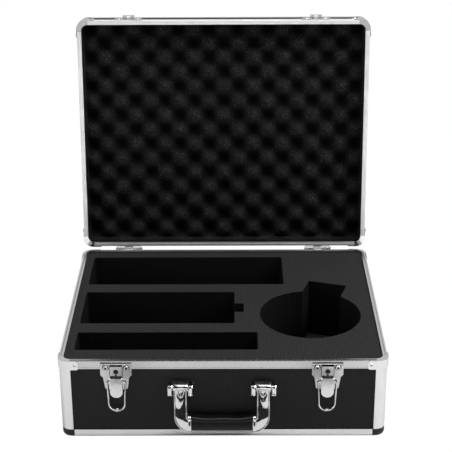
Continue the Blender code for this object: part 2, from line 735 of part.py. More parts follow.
def latch_plate(side, center):
    """The riveted plate with its rolled lip, raised lock case and the two pivot ears."""
    place = front_place(center)
    side_place = front_side_place(center)
    face = CLEARANCE + LATCH_SHEET
    right = [(LATCH_HALF_WIDTH, LATCH_TOP), (LATCH_HALF_WIDTH, LATCH_TOP - LATCH_STRAIGHT)]
    right.append((LATCH_HALF_WIDTH - LATCH_SHOULDER, LATCH_TOP - LATCH_STRAIGHT - LATCH_SHOULDER))
    right.append((LATCH_FOOT_HALF_WIDTH, LATCH_TOP - LATCH_HEIGHT + LATCH_FOOT_CHAMFER))
    right.append((LATCH_FOOT_HALF_WIDTH - LATCH_FOOT_CHAMFER, LATCH_TOP - LATCH_HEIGHT))
    plate = prism(f"latch_plate_{side}", mirrored(right), CLEARANCE, face, place, "chrome")
    lip_center = (CLEARANCE + LATCH_LIP_RISE / 2, LATCH_TOP - LATCH_LIP_HEIGHT / 2)
    lip = arc(lip_center, LATCH_LIP_RISE / 2, 0, 330, 11, squash=LATCH_LIP_HEIGHT / LATCH_LIP_RISE)
    reach = LATCH_HALF_WIDTH - LATCH_LIP_RISE / 4
    fuse(plate, prism("lip", lip, -reach, reach, side_place))
    sections = []
    for out, inset in ((face - CLEARANCE, 0), (LOCK_RISE - LOCK_BEVEL / 2, 0), (LOCK_RISE, LOCK_BEVEL)):
        low = (-LOCK_HALF_WIDTH + inset / 2, LATCH_TOP - LOCK_BOTTOM_DROP + inset / 2)
        high = (LOCK_HALF_WIDTH - inset / 2, LATCH_TOP - LOCK_TOP_DROP - inset)
        sections.append([place(x, z, out) for x, z in rectangle(low, high)])
    fuse(plate, loft("lock_case", sections, "chrome"))
    key_height = LATCH_TOP - KEY_DROP
    cut(plate, rod("bore", place, (0, key_height), KEY_RADIUS, LOCK_FLOOR, LOCK_RISE + OVERRUN, steps=24))
    slot = rectangle((-KEY_SLOT_WIDTH / 2, key_height - KEY_SLOT_REACH), (KEY_SLOT_WIDTH / 2, key_height))
    cut(plate, prism("slot", slot, LOCK_FLOOR, LOCK_RISE + OVERRUN, place))
    for turn in (-1, 1):
        eyelet(plate, place, (turn * EYELET_SPREAD, LATCH_TOP - EYELET_DROP), face)
        outer = turn * (LEVER_HALF_WIDTH - LEVER_SHEET - CLEARANCE)
        inner = outer - turn * PIVOT_EAR_THICKNESS
        ear = [(face - CLEARANCE, PIVOT_HEIGHT - PIVOT_EAR_RADIUS)]
        ear += arc((PIVOT_OUT, PIVOT_HEIGHT), PIVOT_EAR_RADIUS, -90, 90, 6)
        ear += [(face - CLEARANCE, PIVOT_HEIGHT + PIVOT_EAR_RADIUS)]
        fuse(plate, prism("ear", ear, inner, outer, side_place))
    pin_reach = LEVER_HALF_WIDTH + CLEARANCE
    fuse(plate, rod("pin", side_place, (PIVOT_OUT, PIVOT_HEIGHT), PIVOT_PIN_RADIUS, -pin_reach, pin_reach))
    return plate


def lock_barrel(side, center):
    """The turning lock barrel with its keyway, set back in the lock case."""
    place = front_place(center)
    key = (0, LATCH_TOP - KEY_DROP)
    barrel = rod(f"lock_barrel_{side}", place, key, KEY_RADIUS - CLEARANCE, LOCK_FLOOR + CLEARANCE,
                 BARREL_TOP, "lock_metal", steps=24)
    low = (-KEYWAY_WIDTH / 2, key[1] - KEY_RADIUS / 2)
    high = (KEYWAY_WIDTH / 2, key[1] + KEY_RADIUS / 2)
    return cut(barrel, prism("keyway", rectangle(low, high), BARREL_TOP - KEYWAY_DEPTH, BARREL_TOP + OVERRUN, place))


def latch_lever(side, center):
    """A folded sheet lever: a round ended tongue with a flange down each side."""
    place = front_place(center)
    side_place = front_side_place(center)
    top = PIVOT_HEIGHT + LEVER_RISE
    bottom = top - LEVER_LENGTH
    front = LEVER_BACK + LEVER_SHEET
    right = [(LEVER_HALF_WIDTH - LEVER_TOP_TAPER, top), (LEVER_HALF_WIDTH, top - 2 * LEVER_TOP_TAPER)]
    right += arc((0, bottom + LEVER_HALF_WIDTH), LEVER_HALF_WIDTH, 0, -90, 8)[:-1]
    left = [(-x, z) for x, z in reversed(right)]
    outline = right + [(0, bottom)] + left
    lever = prism(f"latch_lever_{side}", outline, LEVER_BACK, front, place, "chrome")
    flange = [(front - LEVER_SHEET / 2, top)]
    flange += arc((PIVOT_OUT, PIVOT_HEIGHT), LEVER_FLANGE_RADIUS, 24, 180, 7)
    flange += [(LEVER_FLANGE_INNER, BAIL_HEIGHT), (LEVER_FLANGE_INNER, BAIL_HEIGHT - 2 * BAIL_BORE_RADIUS)]
    flange += [(front - LEVER_SHEET / 2, PIVOT_HEIGHT - LEVER_FLANGE_REACH)]
    for turn in (-1, 1):
        outer = turn * LEVER_HALF_WIDTH
        fuse(lever, prism("flange", flange, outer - turn * LEVER_SHEET, outer, side_place))
    reach = LEVER_HALF_WIDTH + OVERRUN
    cut(lever, rod("bore", side_place, (PIVOT_OUT, PIVOT_HEIGHT), PIVOT_BORE_RADIUS, -reach, reach))
    return cut(lever, rod("bore", side_place, (BAIL_OUT, BAIL_HEIGHT), BAIL_BORE_RADIUS, -reach, reach))


def latch_bail(side, center):
    """The bent wire loop that hangs on the lever and hooks over the keeper."""
    height = BAIL_HEIGHT
    right = [(BAIL_END, height)]
    right += arc((BAIL_HALF_WIDTH - BAIL_BEND, height - BAIL_BEND), BAIL_BEND, 90, 0, 4)
    foot = height - BAIL_LENGTH + BAIL_FOOT_HEIGHT
    squash = BAIL_FOOT_HEIGHT / BAIL_FOOT_HALF_WIDTH
    right += arc((0, foot), BAIL_FOOT_HALF_WIDTH, 0, -90, 8, squash)[:-1]
    path = right + [(0, height - BAIL_LENGTH)] + [(-x, z) for x, z in reversed(right)]
    curve = bpy.data.curves.new("bail", "CURVE")
    curve.dimensions = "3D"
    curve.bevel_depth = BAIL_WIRE_RADIUS
    curve.bevel_resolution = 2
    curve.use_fill_caps = True
    spline = curve.splines.new("POLY")
    spline.points.add(len(path) - 1)
    place = front_place(center)
    for point, (x, z) in zip(spline.points, path):
        point.co = (*place(x, z, BAIL_OUT), 1)
    wire = bpy.data.objects.new("wire", curve)
    bpy.context.collection.objects.link(wire)
    graph = bpy.context.evaluated_depsgraph_get()
    mesh = bpy.data.meshes.new_from_object(wire.evaluated_get(graph))
    bpy.data.objects.remove(wire)
    shape = bmesh.new()
    shape.from_mesh(mesh)
    bmesh.ops.remove_doubles(shape, verts=shape.verts, dist=BAIL_WIRE_RADIUS / 100)
    bail = make_object(f"latch_bail_{side}", shape, "chrome")
    knob = bmesh.new()
    bmesh.ops.create_icosphere(knob, subdivisions=2, radius=1)
    bmesh.ops.scale(knob, vec=BAIL_KNOB, verts=knob.verts)
    knob_center = place(0, height - BAIL_LENGTH + BAIL_WIRE_RADIUS, BAIL_OUT)
    bmesh.ops.translate(knob, vec=knob_center, verts=knob.verts)
    return fuse(bail, make_object("knob", knob, "chrome"))


def keeper(side, center):
    """The lid's catch: a plate whose hook holds the bail's foot."""
    place = front_place(center)
    low = LID_TOP - LID_HEIGHT + KEEPER_RISE
    face = CLEARANCE + LATCH_SHEET
    outline = rounded_rectangle((-KEEPER_HALF_WIDTH, low), (KEEPER_HALF_WIDTH, low + KEEPER_HEIGHT), LATCH_SHEET)
    catch = prism(f"lid_keeper_{side}", outline, CLEARANCE, face, place, "chrome")
    shelf_top = BAIL_HEIGHT + BAIL_LENGTH - BAIL_WIRE_RADIUS - CLEARANCE
    shelf_low = shelf_top - LATCH_SHEET
    hook = [(face - CLEARANCE, shelf_low), (KEEPER_HOOK_OUT, shelf_low)]
    hook += [(KEEPER_HOOK_OUT, shelf_top + KEEPER_LIP_HEIGHT), (KEEPER_HOOK_OUT - KEEPER_LIP, shelf_top + KEEPER_LIP_HEIGHT)]
    hook += [(KEEPER_HOOK_OUT - KEEPER_LIP, shelf_top), (face - CLEARANCE, shelf_top)]
    reach = KEEPER_HOOK_HALF_WIDTH
    fuse(catch, prism("hook", hook, -reach, reach, front_side_place(center)))
    knob_reach = BAIL_KNOB[0] + 2 * CLEARANCE
    knob_room = rectangle((-knob_reach, shelf_low - OVERRUN), (knob_reach, shelf_top + OVERRUN))
    cut(catch, prism("knob_room", knob_room, face, KEEPER_HOOK_OUT - KEEPER_LIP, place))
    for turn in (-1, 1):
        rivet(catch, place, (turn * EYELET_SPREAD, low + KEEPER_HEIGHT / 2), face)
    return catch


# Handle

def handle_bracket(side, center):
    """A bracket: two bevelled lugs with the pin between them, under a small flared roof."""
    place = front_place(center)
    side_place = front_side_place(center)
    back = CLEARANCE - BOARD_INSET
    face = back + BRACKET_SHEET
    top = HANDLE_PIVOT_HEIGHT + HANDLE_PIVOT_BELOW_LUG_TOP
    bottom = top - LUG_HEIGHT
    outline = rectangle((-BRACKET_HALF_WIDTH, bottom), (BRACKET_HALF_WIDTH, top))
    bracket = prism(f"handle_bracket_{side}", outline, back, face, place, "chrome")
    for turn in (-1, 1):
        ends = sorted((turn * BRACKET_HALF_WIDTH, turn * (BRACKET_HALF_WIDTH - LUG_WIDTH)))
        sections = []
        for inset, behind in LUG_BEVELS:
            out = LUG_OUT - behind if sections else face - CLEARANCE
            low = (ends[0] + inset, bottom + 1.6 * inset)
            high = (ends[1] - inset, top - 1.6 * inset)
            sections.append([place(x, z, out) for x, z in rounded_rectangle(low, high, LUG_RADIUS, 2)])
        fuse(bracket, loft("lug", sections, "chrome"))
    roof_low = HANDLE_PIVOT_HEIGHT + HANDLE_BARREL_RADIUS + CLEARANCE
    roof = []
    for z, half_width, out in ((roof_low, ROOF_HALF_WIDTH, ROOF_LOW_OUT),
                               (roof_low + ROOF_HEIGHT, ROOF_HALF_WIDTH + ROOF_FLARE, ROOF_TOP_OUT)):
        corners = rectangle((-half_width, back), (half_width, out))
        roof.append([place(x, z, o) for x, o in corners])
    fuse(bracket, loft("roof", roof, "chrome"))
    strap = rectangle((-ROOF_HALF_WIDTH, top - OVERRUN), (ROOF_HALF_WIDTH, roof_low + OVERRUN))
    fuse(bracket, prism("strap", strap, back, face, place))
    pin_reach = BRACKET_HALF_WIDTH - LUG_WIDTH / 2
    axis = (HANDLE_PIVOT_OUT, HANDLE_PIVOT_HEIGHT)
    return fuse(bracket, rod("pin", side_place, axis, HANDLE_PIN_RADIUS, -pin_reach, pin_reach))


def bow_outline(inset):
    """The bow's outline from the front, drawn in by an inset from its edges."""
    outer_x = BOW_HALF_WIDTH - inset
    inner_x = BOW_HALF_WIDTH - BOW_ARM_WIDTH + inset
    foot = BOW_FOOT_HEIGHT + inset
    bar_top = BOW_FOOT_HEIGHT + BOW_BAR_HEIGHT - inset
    radius = BOW_CORNER_RADIUS - inset
    inner_radius = BOW_INNER_RADIUS + inset
    top = HANDLE_PIVOT_HEIGHT
    right = [(inner_x, top), (outer_x, top)]
    right += arc((outer_x - radius, foot + radius), radius, 0, -90, 7)
    inner = arc((inner_x - inner_radius, bar_top + inner_radius), inner_radius, 0, -90, 3)
    left = [(-x, z) for x, z in reversed(right)]
    left_inner = [(-x, z) for x, z in inner]
    return right + left + left_inner + list(reversed(inner))


def grip_section(height, thickness, shoulder):
    """A rounded section (out, z) for the grip and its collars, about the grip's middle."""
    half_out, half_height = thickness / 2 + shoulder, height / 2 + shoulder
    center = (GRIP_BACK + GRIP_THICKNESS / 2, BOW_FOOT_HEIGHT + GRIP_STRIP + height / 2)
    points = []
    for step in range(20):
        angle = 2 * math.pi * step / 20
        across, up = math.cos(angle), math.sin(angle)
        round_share = 0.55
        points.append((center[0] + half_out * math.copysign(abs(across) ** round_share, across),
                       center[1] + half_height * math.copysign(abs(up) ** round_share, up)))
    return points


def arm_dish(place, turn):
    """The dished hollow down the front of one arm and round its bend, as a cutter."""
    sections = []
    for inset, depth in BOW_DISH:
        inner_x = BOW_HALF_WIDTH - BOW_ARM_WIDTH + inset
        outer_x = BOW_HALF_WIDTH - inset
        top = HANDLE_PIVOT_HEIGHT - HANDLE_BARREL_RADIUS - inset
        center = (BOW_HALF_WIDTH - BOW_CORNER_RADIUS, BOW_FOOT_HEIGHT + BOW_CORNER_RADIUS)
        radius = BOW_CORNER_RADIUS - inset
        end = -math.degrees(math.acos((inner_x - center[0]) / radius))
        outline = [(inner_x, top), (outer_x, top)] + arc(center, radius, 0, end, 8)
        out = BOW_BACK + BOW_THICKNESS - depth
        sections.append([place(turn * x, z, out) for x, z in outline])
    return loft("dish", sections, "chrome")


def handle_bow():
    """The cast bow: two dished arms, a bar for the grip, a barrel on each arm and two collars."""
    place = front_place(FITTINGS_CENTER)
    side_place = front_side_place(FITTINGS_CENTER)
    sections = []
    for inset, out in BOW_EDGES:
        sections.append([place(x, z, BOW_BACK + out) for x, z in bow_outline(inset)])
    bow = loft("handle_bow", sections, "chrome")
    for turn in (-1, 1):
        cut(bow, arm_dish(place, turn))
        axis = (HANDLE_PIVOT_OUT, HANDLE_PIVOT_HEIGHT)
        start = turn * BRACKET_OFFSET - HANDLE_BARREL_HALF_LENGTH
        end = turn * BRACKET_OFFSET + HANDLE_BARREL_HALF_LENGTH
        fuse(bow, rod("barrel", side_place, axis, HANDLE_BARREL_RADIUS, start, end, steps=24))
        cut(bow, rod("bore", side_place, axis, HANDLE_BORE_RADIUS, start - OVERRUN, end + OVERRUN))
        collar_start = turn * (GRIP_HALF_LENGTH + CLEARANCE)
        collar = grip_section(GRIP_HEIGHT, GRIP_THICKNESS, COLLAR_SHOULDER)
        collar_end = collar_start + turn * COLLAR_THICKNESS
        fuse(bow, prism("collar", collar, collar_start, collar_end, side_place))
    return bow


def handle_grip():
    """A moulded grip that saddles the bow's bar, waisted in the middle."""
    place = front_side_place(FITTINGS_CENTER)
    stations = 12
    sections = []
    for station in range(stations + 1):
        share = 2 * station / stations - 1
        wave = 0.85 - 0.15 * math.cos(2 * math.pi * share)
        height = GRIP_HEIGHT - GRIP_WAIST * wave * (1 - share ** 4)
        x = share * GRIP_HALF_LENGTH
        sections.append([place(out, z, x) for out, z in grip_section(height, GRIP_THICKNESS, 0)])
    grip = loft("handle_grip", sections, "grip_rubber")
    low = (BOW_BACK - CLEARANCE, BOW_FOOT_HEIGHT - OVERRUN)
    high = (BOW_BACK + BOW_THICKNESS + CLEARANCE, BOW_FOOT_HEIGHT + BOW_BAR_HEIGHT + CLEARANCE)
    reach = GRIP_HALF_LENGTH + OVERRUN
    return cut(grip, prism("saddle", rectangle(low, high), -reach, reach, place))


# Hinges

def hinge_leaf(side, center, up, spans, word):
    """A riveted leaf that reaches up or down from the axis, with a knuckle for each span."""
    axis_height = HINGE_AXIS.z
    place = back_side_place(center)
    face = CLEARANCE + HINGE_SHEET
    plate_place = lambda x, z, out: place(out, z, x)
    ends = sorted((axis_height + up * HINGE_LEAF_START, axis_height + up * HINGE_LEAF_END))
    outline = rounded_rectangle((-HINGE_HALF_WIDTH, ends[0]), (HINGE_HALF_WIDTH, ends[1]), HINGE_SHEET)
    leaf = prism(f"hinge_{word}_leaf_{side}", outline, CLEARANCE, face, plate_place, "chrome")
    axis = (HINGE_AXIS_OUT, axis_height)
    for start, end in spans:
        tongue = sorted((axis_height, axis_height + up * (HINGE_LEAF_START + HINGE_SHEET)))
        fuse(leaf, prism("tongue", rectangle((CLEARANCE, tongue[0]), (face, tongue[1])), start, end, place))
        web = sorted((axis_height, axis_height + up * HINGE_WEB_HEIGHT))
        fuse(leaf, prism("web", rectangle((CLEARANCE, web[0]), (HINGE_WEB_OUT, web[1])), start, end, place))
        fuse(leaf, rod("knuckle", place, axis, HINGE_BARREL_RADIUS, start, end))
    reach = HINGE_HALF_WIDTH + OVERRUN
    cut(leaf, rod("bore", place, axis, HINGE_BORE_RADIUS, -reach, reach))
    for spread in (-1, 1):
        for distance in (HINGE_RIVET_NEAR, HINGE_RIVET_FAR):
            spot = (spread * HINGE_RIVET_SPREAD, axis_height + up * distance)
            rivet(leaf, plate_place, spot, face)
    return leaf


def hinge_pin(side, center):
    """A hinge pin with a head beyond each outer knuckle."""
    place = back_side_place(center)
    axis = (HINGE_AXIS_OUT, HINGE_AXIS.z)
    reach = HINGE_HALF_WIDTH + CLEARANCE
    pin = rod(f"hinge_pin_{side}", place, axis, HINGE_PIN_RADIUS, -reach - HINGE_PIN_HEAD / 2,
              reach + HINGE_PIN_HEAD / 2)
    for turn in (-1, 1):
        head = (turn * reach, turn * (reach + HINGE_PIN_HEAD))
        fuse(pin, rod("head", place, axis, HINGE_PIN_HEAD_RADIUS, *head))
    return pin


# The whole case

def build_latches(lid_pivot):
    for side, turn in (("left", -1), ("right", 1)):
        center = FITTINGS_CENTER + turn * LATCH_OFFSET_SHARE * CASE_WIDTH
        latch_plate(side, center)
        barrel_pivot = pivot_at(f"lock_axis_{side}", Vector((center, -HALF_DEPTH - BARREL_TOP, LATCH_TOP - KEY_DROP)))
        hang_on(lock_barrel(side, center), barrel_pivot)
        lever_pivot = pivot_at(f"lever_axis_{side}", Vector((center, -HALF_DEPTH - PIVOT_OUT, PIVOT_HEIGHT)))
        hang_on(latch_lever(side, center), lever_pivot)
        bail_pivot = pivot_at(f"bail_axis_{side}", Vector((center, -HALF_DEPTH - BAIL_OUT, BAIL_HEIGHT)))
        hang_on(latch_bail(side, center), bail_pivot)
        hang_on(keeper(side, center), lid_pivot)


def build_handle():
    pivot = pivot_at("handle_axis", Vector((0, -HALF_DEPTH - HANDLE_PIVOT_OUT, HANDLE_PIVOT_HEIGHT)))
    for side, turn in (("left", -1), ("right", 1)):
        handle_bracket(side, FITTINGS_CENTER + turn * BRACKET_OFFSET)
    hang_on(handle_bow(), pivot)
    hang_on(handle_grip(), pivot)


def build_hinges(lid_pivot):
    running = 2 * CLEARANCE
    outer = (HINGE_MIDDLE_HALF + running / 2, HINGE_HALF_WIDTH)
    for side, turn in (("left", -1), ("right", 1)):
        center = FITTINGS_CENTER + turn * HINGE_OFFSET_SHARE * CASE_WIDTH
        hinge_leaf(side, center, -1, [outer, (-outer[1], -outer[0])], "base")
        middle = (-HINGE_MIDDLE_HALF, HINGE_MIDDLE_HALF)
        hang_on(hinge_leaf(side, center, 1, [middle], "lid"), lid_pivot)
        hinge_pin(side, center)


def main():
    for piece in list(bpy.data.objects):
        bpy.data.objects.remove(piece)
    lid_pivot = pivot_at("lid_axis", HINGE_AXIS, -LID_OPEN_ANGLE)
    build_half(BASE, "foot", "bottom")
    build_base_foam()
    for piece in build_half(LID, "cap", "top"):
        hang_on(piece, lid_pivot)
    hang_on(build_crate_foam(), lid_pivot)
    build_latches(lid_pivot)
    build_handle()
    build_hinges(lid_pivot)
    for piece in bpy.data.objects:
        if piece.parent is None:
            piece.location.y += HALF_DEPTH - EDGE_RAIL_WIDTH / 2


main()
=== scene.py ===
"""The look of an open flight case: its foams, finishes, light and camera."""
import math

import bmesh
import bpy
from mathutils import Matrix, Vector


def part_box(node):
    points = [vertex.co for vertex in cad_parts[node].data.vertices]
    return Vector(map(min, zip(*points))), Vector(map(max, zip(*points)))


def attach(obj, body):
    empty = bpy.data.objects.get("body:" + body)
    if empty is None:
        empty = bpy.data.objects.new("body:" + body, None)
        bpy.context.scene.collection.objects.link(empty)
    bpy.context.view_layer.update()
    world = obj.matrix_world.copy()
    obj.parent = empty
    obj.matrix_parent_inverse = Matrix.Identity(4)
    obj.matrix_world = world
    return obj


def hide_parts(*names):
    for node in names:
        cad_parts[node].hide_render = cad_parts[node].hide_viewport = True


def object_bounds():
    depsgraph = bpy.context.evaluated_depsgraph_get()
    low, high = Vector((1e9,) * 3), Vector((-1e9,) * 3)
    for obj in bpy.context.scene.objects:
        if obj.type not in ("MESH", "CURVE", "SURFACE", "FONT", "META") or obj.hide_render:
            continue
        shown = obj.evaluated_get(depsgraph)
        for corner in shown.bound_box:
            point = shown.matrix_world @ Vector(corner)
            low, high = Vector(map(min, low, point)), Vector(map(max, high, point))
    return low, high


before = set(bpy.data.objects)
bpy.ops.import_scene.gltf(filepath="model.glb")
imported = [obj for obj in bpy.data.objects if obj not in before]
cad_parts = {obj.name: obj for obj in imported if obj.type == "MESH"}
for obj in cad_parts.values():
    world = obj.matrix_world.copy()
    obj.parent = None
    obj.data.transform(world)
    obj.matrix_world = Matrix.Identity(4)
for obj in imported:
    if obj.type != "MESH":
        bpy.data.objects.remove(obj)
cad_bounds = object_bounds()

# Camera
PHOTO_SIZE = 452
SENSOR_WIDTH = 36
FOCAL_PIXELS = 1328.3
CAMERA_PLACE = (0.0148, -1.6208, 1.0369)
CAMERA_YAW = -0.006
CAMERA_PITCH = 0.414
CAMERA_ROLL = -0.005

# Case, as in the solids
CASE_WIDTH = 0.460
CASE_DEPTH = 0.370
BASE_HEIGHT = 0.124
EDGE_RAIL_WIDTH = 0.018
RAIL_DEPTH = 0.0066
RIM_GAP = 0.0004
HINGE_AXIS_OUT = 0.0042
LID_OPEN_ANGLE = math.radians(97)
LID_INSIDE = 0.0385
FOAM_CLEARANCE = 0.0004
FOAM_DROP = 0.0025
FOAM_CORNER_RADIUS = 0.004
INSERT_SHARE = 0.742

# Foam pockets as shares of the case: left, front, width and depth
LONG_POCKET_SHARES = (0.0413, 0.6649, 0.6609, 0.2676)
MIDDLE_POCKET_SHARES = (0.0413, 0.3162, 0.4946, 0.2757)
SMALL_POCKET_SHARES = (0.0413, 0.1000, 0.5663, 0.1405)
NOTCH_SHARES = (0.0300, 0.0751)
NOTCH_FRONT_SHARE = 0.0959
ROUND_POCKET_SHARES = (0.7804, 0.3932)
ROUND_RADIUS_SHARE = 0.2027
ROUND_NOTCH_WIDTH_SHARE = 0.1622
ROUND_NOTCH_REACH_SHARE = 0.2919
ROUND_NOTCH_TURN = math.radians(-17.5)
POCKET_RADIUS = 0.003
TOOTH_PITCH = 0.0026
TOOTH_DEPTH = 0.0005
PAD_SAG = 0.0003

# Embossing of the boards and of the insert
LAMINATE_PITCH = 0.0034
LATTICE_PITCH = 0.0046
LATTICE_SLOPE = 1.35

# Convoluted lid foam
CRATE_PITCH = 0.0473
CRATE_PEAK_DROP = 0.0145
CRATE_WAVE = 0.0155
CRATE_WALL = 0.0022
CRATE_WALL_DROP = 0.0015
CRATE_STEP = 0.0024

# Dark cards for the chrome to mirror: near and far half widths, near and far edges, tone
BEND_FLAG = (0.125, 0.125, -0.070, -0.092, 0.002)
ARM_FLAG = (0.125, 0.012, -0.092, -0.124, 0.002)
BARREL_FLAG = (0.125, 0.125, -0.124, -0.137, 0.002)
LUG_FLAG = (0.105, 0.105, -0.141, -0.150, 0.002)
LATCH_FLAG = (0.026, 0.026, -0.170, -0.215, 0.25)
FLAG_LIFT = 0.001

# Corner braces, as in the solids
BRACE_EAR_LENGTH = 0.0283
BRACE_RIVET_INSET = 0.0045
BRACE_RIVET_DROP = 0.0062
BRACE_BORE = 0.0012

# Latch plate, as in the solids
LATCH_OFFSET_SHARE = 0.3204
LATCH_TOP_DROP = 0.003
LATCH_LIP_HEIGHT = 0.0026
EYELET_SPREAD = 0.0145
EYELET_DROP = 0.0072
EYELET_RADIUS = 0.0038
EYELET_HOLE = 0.0015
LOCK_HALF_WIDTH = 0.0084
LOCK_TOP_DROP = 0.0031
LOCK_BOTTOM_DROP = 0.0184
# Half width of the painted shadow lines along the latch plate's seams.
SEAM_SHADE_HALF_WIDTH = 0.0005

# Handle, as in the solids
CLEARANCE = 0.0003
FITTINGS_CENTER = -0.0018
HANDLE_PIVOT_DROP = 0.0375
HANDLE_PIVOT_OUT = 0.0080
HANDLE_BORE_RADIUS = 0.0025
HANDLE_BARREL_RADIUS = 0.0053
HANDLE_BARREL_HALF_LENGTH = 0.0103
BARREL_EDGE = 0.0006
BOW_HALF_WIDTH = 0.0671
BOW_ARM_WIDTH = 0.0182
BOW_BACK = 0.0050
BOW_THICKNESS = 0.0060
BOW_FOOT_HEIGHT = 0.0137
BOW_CORNER_RADIUS = 0.026
BOW_INNER_RADIUS = 0.004
BOW_BAR_HEIGHT = 0.0220
BOW_BEAD_RADIUS = 0.0009
BOW_WEB_STEP = 0.0003
BOW_CROWN = 0.0012
COLLAR_THICKNESS = 0.0046
COLLAR_SHOULDER = 0.0008
COLLAR_EDGE = 0.0009
COLLAR_MARGIN = 0.0013
GRIP_STRIP = 0.0053
GRIP_HEIGHT = 0.0238
GRIP_WAIST = 0.0030
GRIP_BACK = 0.0008
GRIP_THICKNESS = 0.0165
SECTION_ROUND_SHARE = 0.55

HALF_WIDTH = CASE_WIDTH / 2
HALF_DEPTH = CASE_DEPTH / 2
HANDLE_PIVOT_HEIGHT = BASE_HEIGHT - HANDLE_PIVOT_DROP
BRACKET_OFFSET = BOW_HALF_WIDTH - BOW_ARM_WIDTH / 2
GRIP_HALF_LENGTH = BOW_HALF_WIDTH - BOW_ARM_WIDTH - COLLAR_THICKNESS - COLLAR_MARGIN
FOAM_HALF_WIDTH = HALF_WIDTH - RAIL_DEPTH - FOAM_CLEARANCE
FOAM_HALF_DEPTH = HALF_DEPTH - RAIL_DEPTH - FOAM_CLEARANCE
FOAM_TOP = BASE_HEIGHT - FOAM_DROP
INSERT_THICKNESS = INSERT_SHARE * BASE_HEIGHT
LID_RIM = BASE_HEIGHT + RIM_GAP
SEAT_SHIFT = HALF_DEPTH - EDGE_RAIL_WIDTH / 2
SCENE = bpy.context.scene


# Camera, light and floor

def make_camera():
    """The photograph's camera: a long lens looking down on the open case."""
    forward = Vector((math.sin(CAMERA_YAW) * math.cos(CAMERA_PITCH),
                      math.cos(CAMERA_YAW) * math.cos(CAMERA_PITCH), -math.sin(CAMERA_PITCH)))
    level = Vector((math.cos(CAMERA_YAW), -math.sin(CAMERA_YAW), 0))
    upright = level.cross(forward)
    right = level * math.cos(CAMERA_ROLL) + upright * math.sin(CAMERA_ROLL)
    up = upright * math.cos(CAMERA_ROLL) - level * math.sin(CAMERA_ROLL)
    camera = bpy.data.objects.new("camera", bpy.data.cameras.new("camera"))
    turn = Matrix((right, up, -forward)).transposed().to_4x4()
    camera.matrix_world = Matrix.Translation(CAMERA_PLACE) @ turn
    camera.data.sensor_width = SENSOR_WIDTH
    camera.data.lens = SENSOR_WIDTH * FOCAL_PIXELS / PHOTO_SIZE
    camera.data.clip_end = 50
    SCENE.collection.objects.link(camera)
    SCENE.camera = camera


def softbox(name, place, aim, size, power, spread=180, mirrored_only=False):
    """A square area light that faces a point; a mirrored one shows in reflections alone."""
    light = bpy.data.lights.new(name, "AREA")
    light.shape = "RECTANGLE"
    light.size, light.size_y = size
    light.energy = power
    light.spread = math.radians(spread)
    box = bpy.data.objects.new(name, light)
    box.location = place
    box.rotation_euler = (Vector(aim) - Vector(place)).to_track_quat("-Z", "Y").to_euler()
    box.visible_camera = False
    box.visible_diffuse = not mirrored_only
    SCENE.collection.objects.link(box)


def make_lights():
    """Softboxes over, before and beside the case."""
    middle = (0, SEAT_SHIFT, 0.15)
    softbox("top_softbox", (0, -0.1, 2.1), middle, (1.6, 0.6), 15)
    softbox("front_softbox", (0, -2.0, 2.3), (0, -2.0, 0), (2.4, 1.6), 75, 60)
    softbox("left_softbox", (-1.9, -0.6, 0.9), middle, (0.6, 1.5), 10)
    softbox("right_softbox", (1.5, -0.2, 1.8), middle, (0.6, 1.2), 33)
    softbox("low_softbox", (0, -2.9, 0.75), middle, (2.0, 1.2), 4.2, mirrored_only=True)


def make_world():
    """A dim studio, pale behind the case and overhead, so that metal has dark and bright to mirror."""
    world = bpy.data.worlds.new("studio")
    SCENE.world = world
    world.use_nodes = True
    tree = world.node_tree
    background = tree.nodes["Background"]
    direction = tree.nodes.new("ShaderNodeTexCoord").outputs["Generated"]
    split = tree.nodes.new("ShaderNodeSeparateXYZ")
    tree.links.new(direction, split.inputs[0])
    behind = smooth_step(tree, split.outputs["Y"], 0.25, 0.55)
    overhead = smooth_step(tree, split.outputs["Z"], 0.76, 0.92)
    pale = maths(tree, "MAXIMUM", behind, overhead)
    tones = mix_color(tree, pale, (0.03, 0.03, 0.03), (0.62, 0.62, 0.62))
    seen = tree.nodes.new("ShaderNodeLightPath").outputs["Is Camera Ray"]
    tree.links.new(mix_color(tree, seen, tones, (1, 1, 1)), background.inputs["Color"])
    background.inputs["Strength"].default_value = 1


def make_floor():
    """A wide pale floor that looks white to the camera and keeps a trace of shadow."""
    half = 6
    bottom = cad_bounds[0][2]
    shape = bmesh.new()
    corners = ((-half, -half), (half, -half), (half, half), (-half, half))
    shape.faces.new([shape.verts.new((x, y, bottom)) for x, y in corners])
    floor = add_mesh("floor", shape)
    paint, tree, shader = new_material("floor", (0.80, 0.80, 0.80), 0.6)
    glow = tree.nodes.new("ShaderNodeEmission")
    glow.inputs["Color"].default_value = (1, 1, 1, 1)
    glow.inputs["Strength"].default_value = 1.03
    blend = tree.nodes.new("ShaderNodeMixShader")
    seen = tree.nodes.new("ShaderNodeLightPath").outputs["Is Camera Ray"]
    tree.links.new(maths(tree, "MULTIPLY", seen, 0.96), blend.inputs["Fac"])
    tree.links.new(shader.outputs[0], blend.inputs[1])
    tree.links.new(glow.outputs[0], blend.inputs[2])
    tree.links.new(blend.outputs[0], tree.nodes["Material Output"].inputs["Surface"])
    floor.data.materials.append(paint)


def make_flag(name, middle, near_half, far_half, near, far, tone):
    """A dark card on the floor before the case, out of the picture, for the chrome to mirror."""
    shape = bmesh.new()
    level = cad_bounds[0][2] + FLAG_LIFT
    corners = ((-near_half, near), (near_half, near), (far_half, far), (-far_half, far))
    shape.faces.new([shape.verts.new((FITTINGS_CENTER + middle + x, y, level)) for x, y in corners])
    flag = add_mesh(name, shape)
    paint, _, _ = new_material(name, (tone, tone, tone), 1.0)
    flag.data.materials.append(paint)
    flag.visible_camera = False
    flag.visible_diffuse = False
    flag.visible_shadow = False


# Shader building blocks

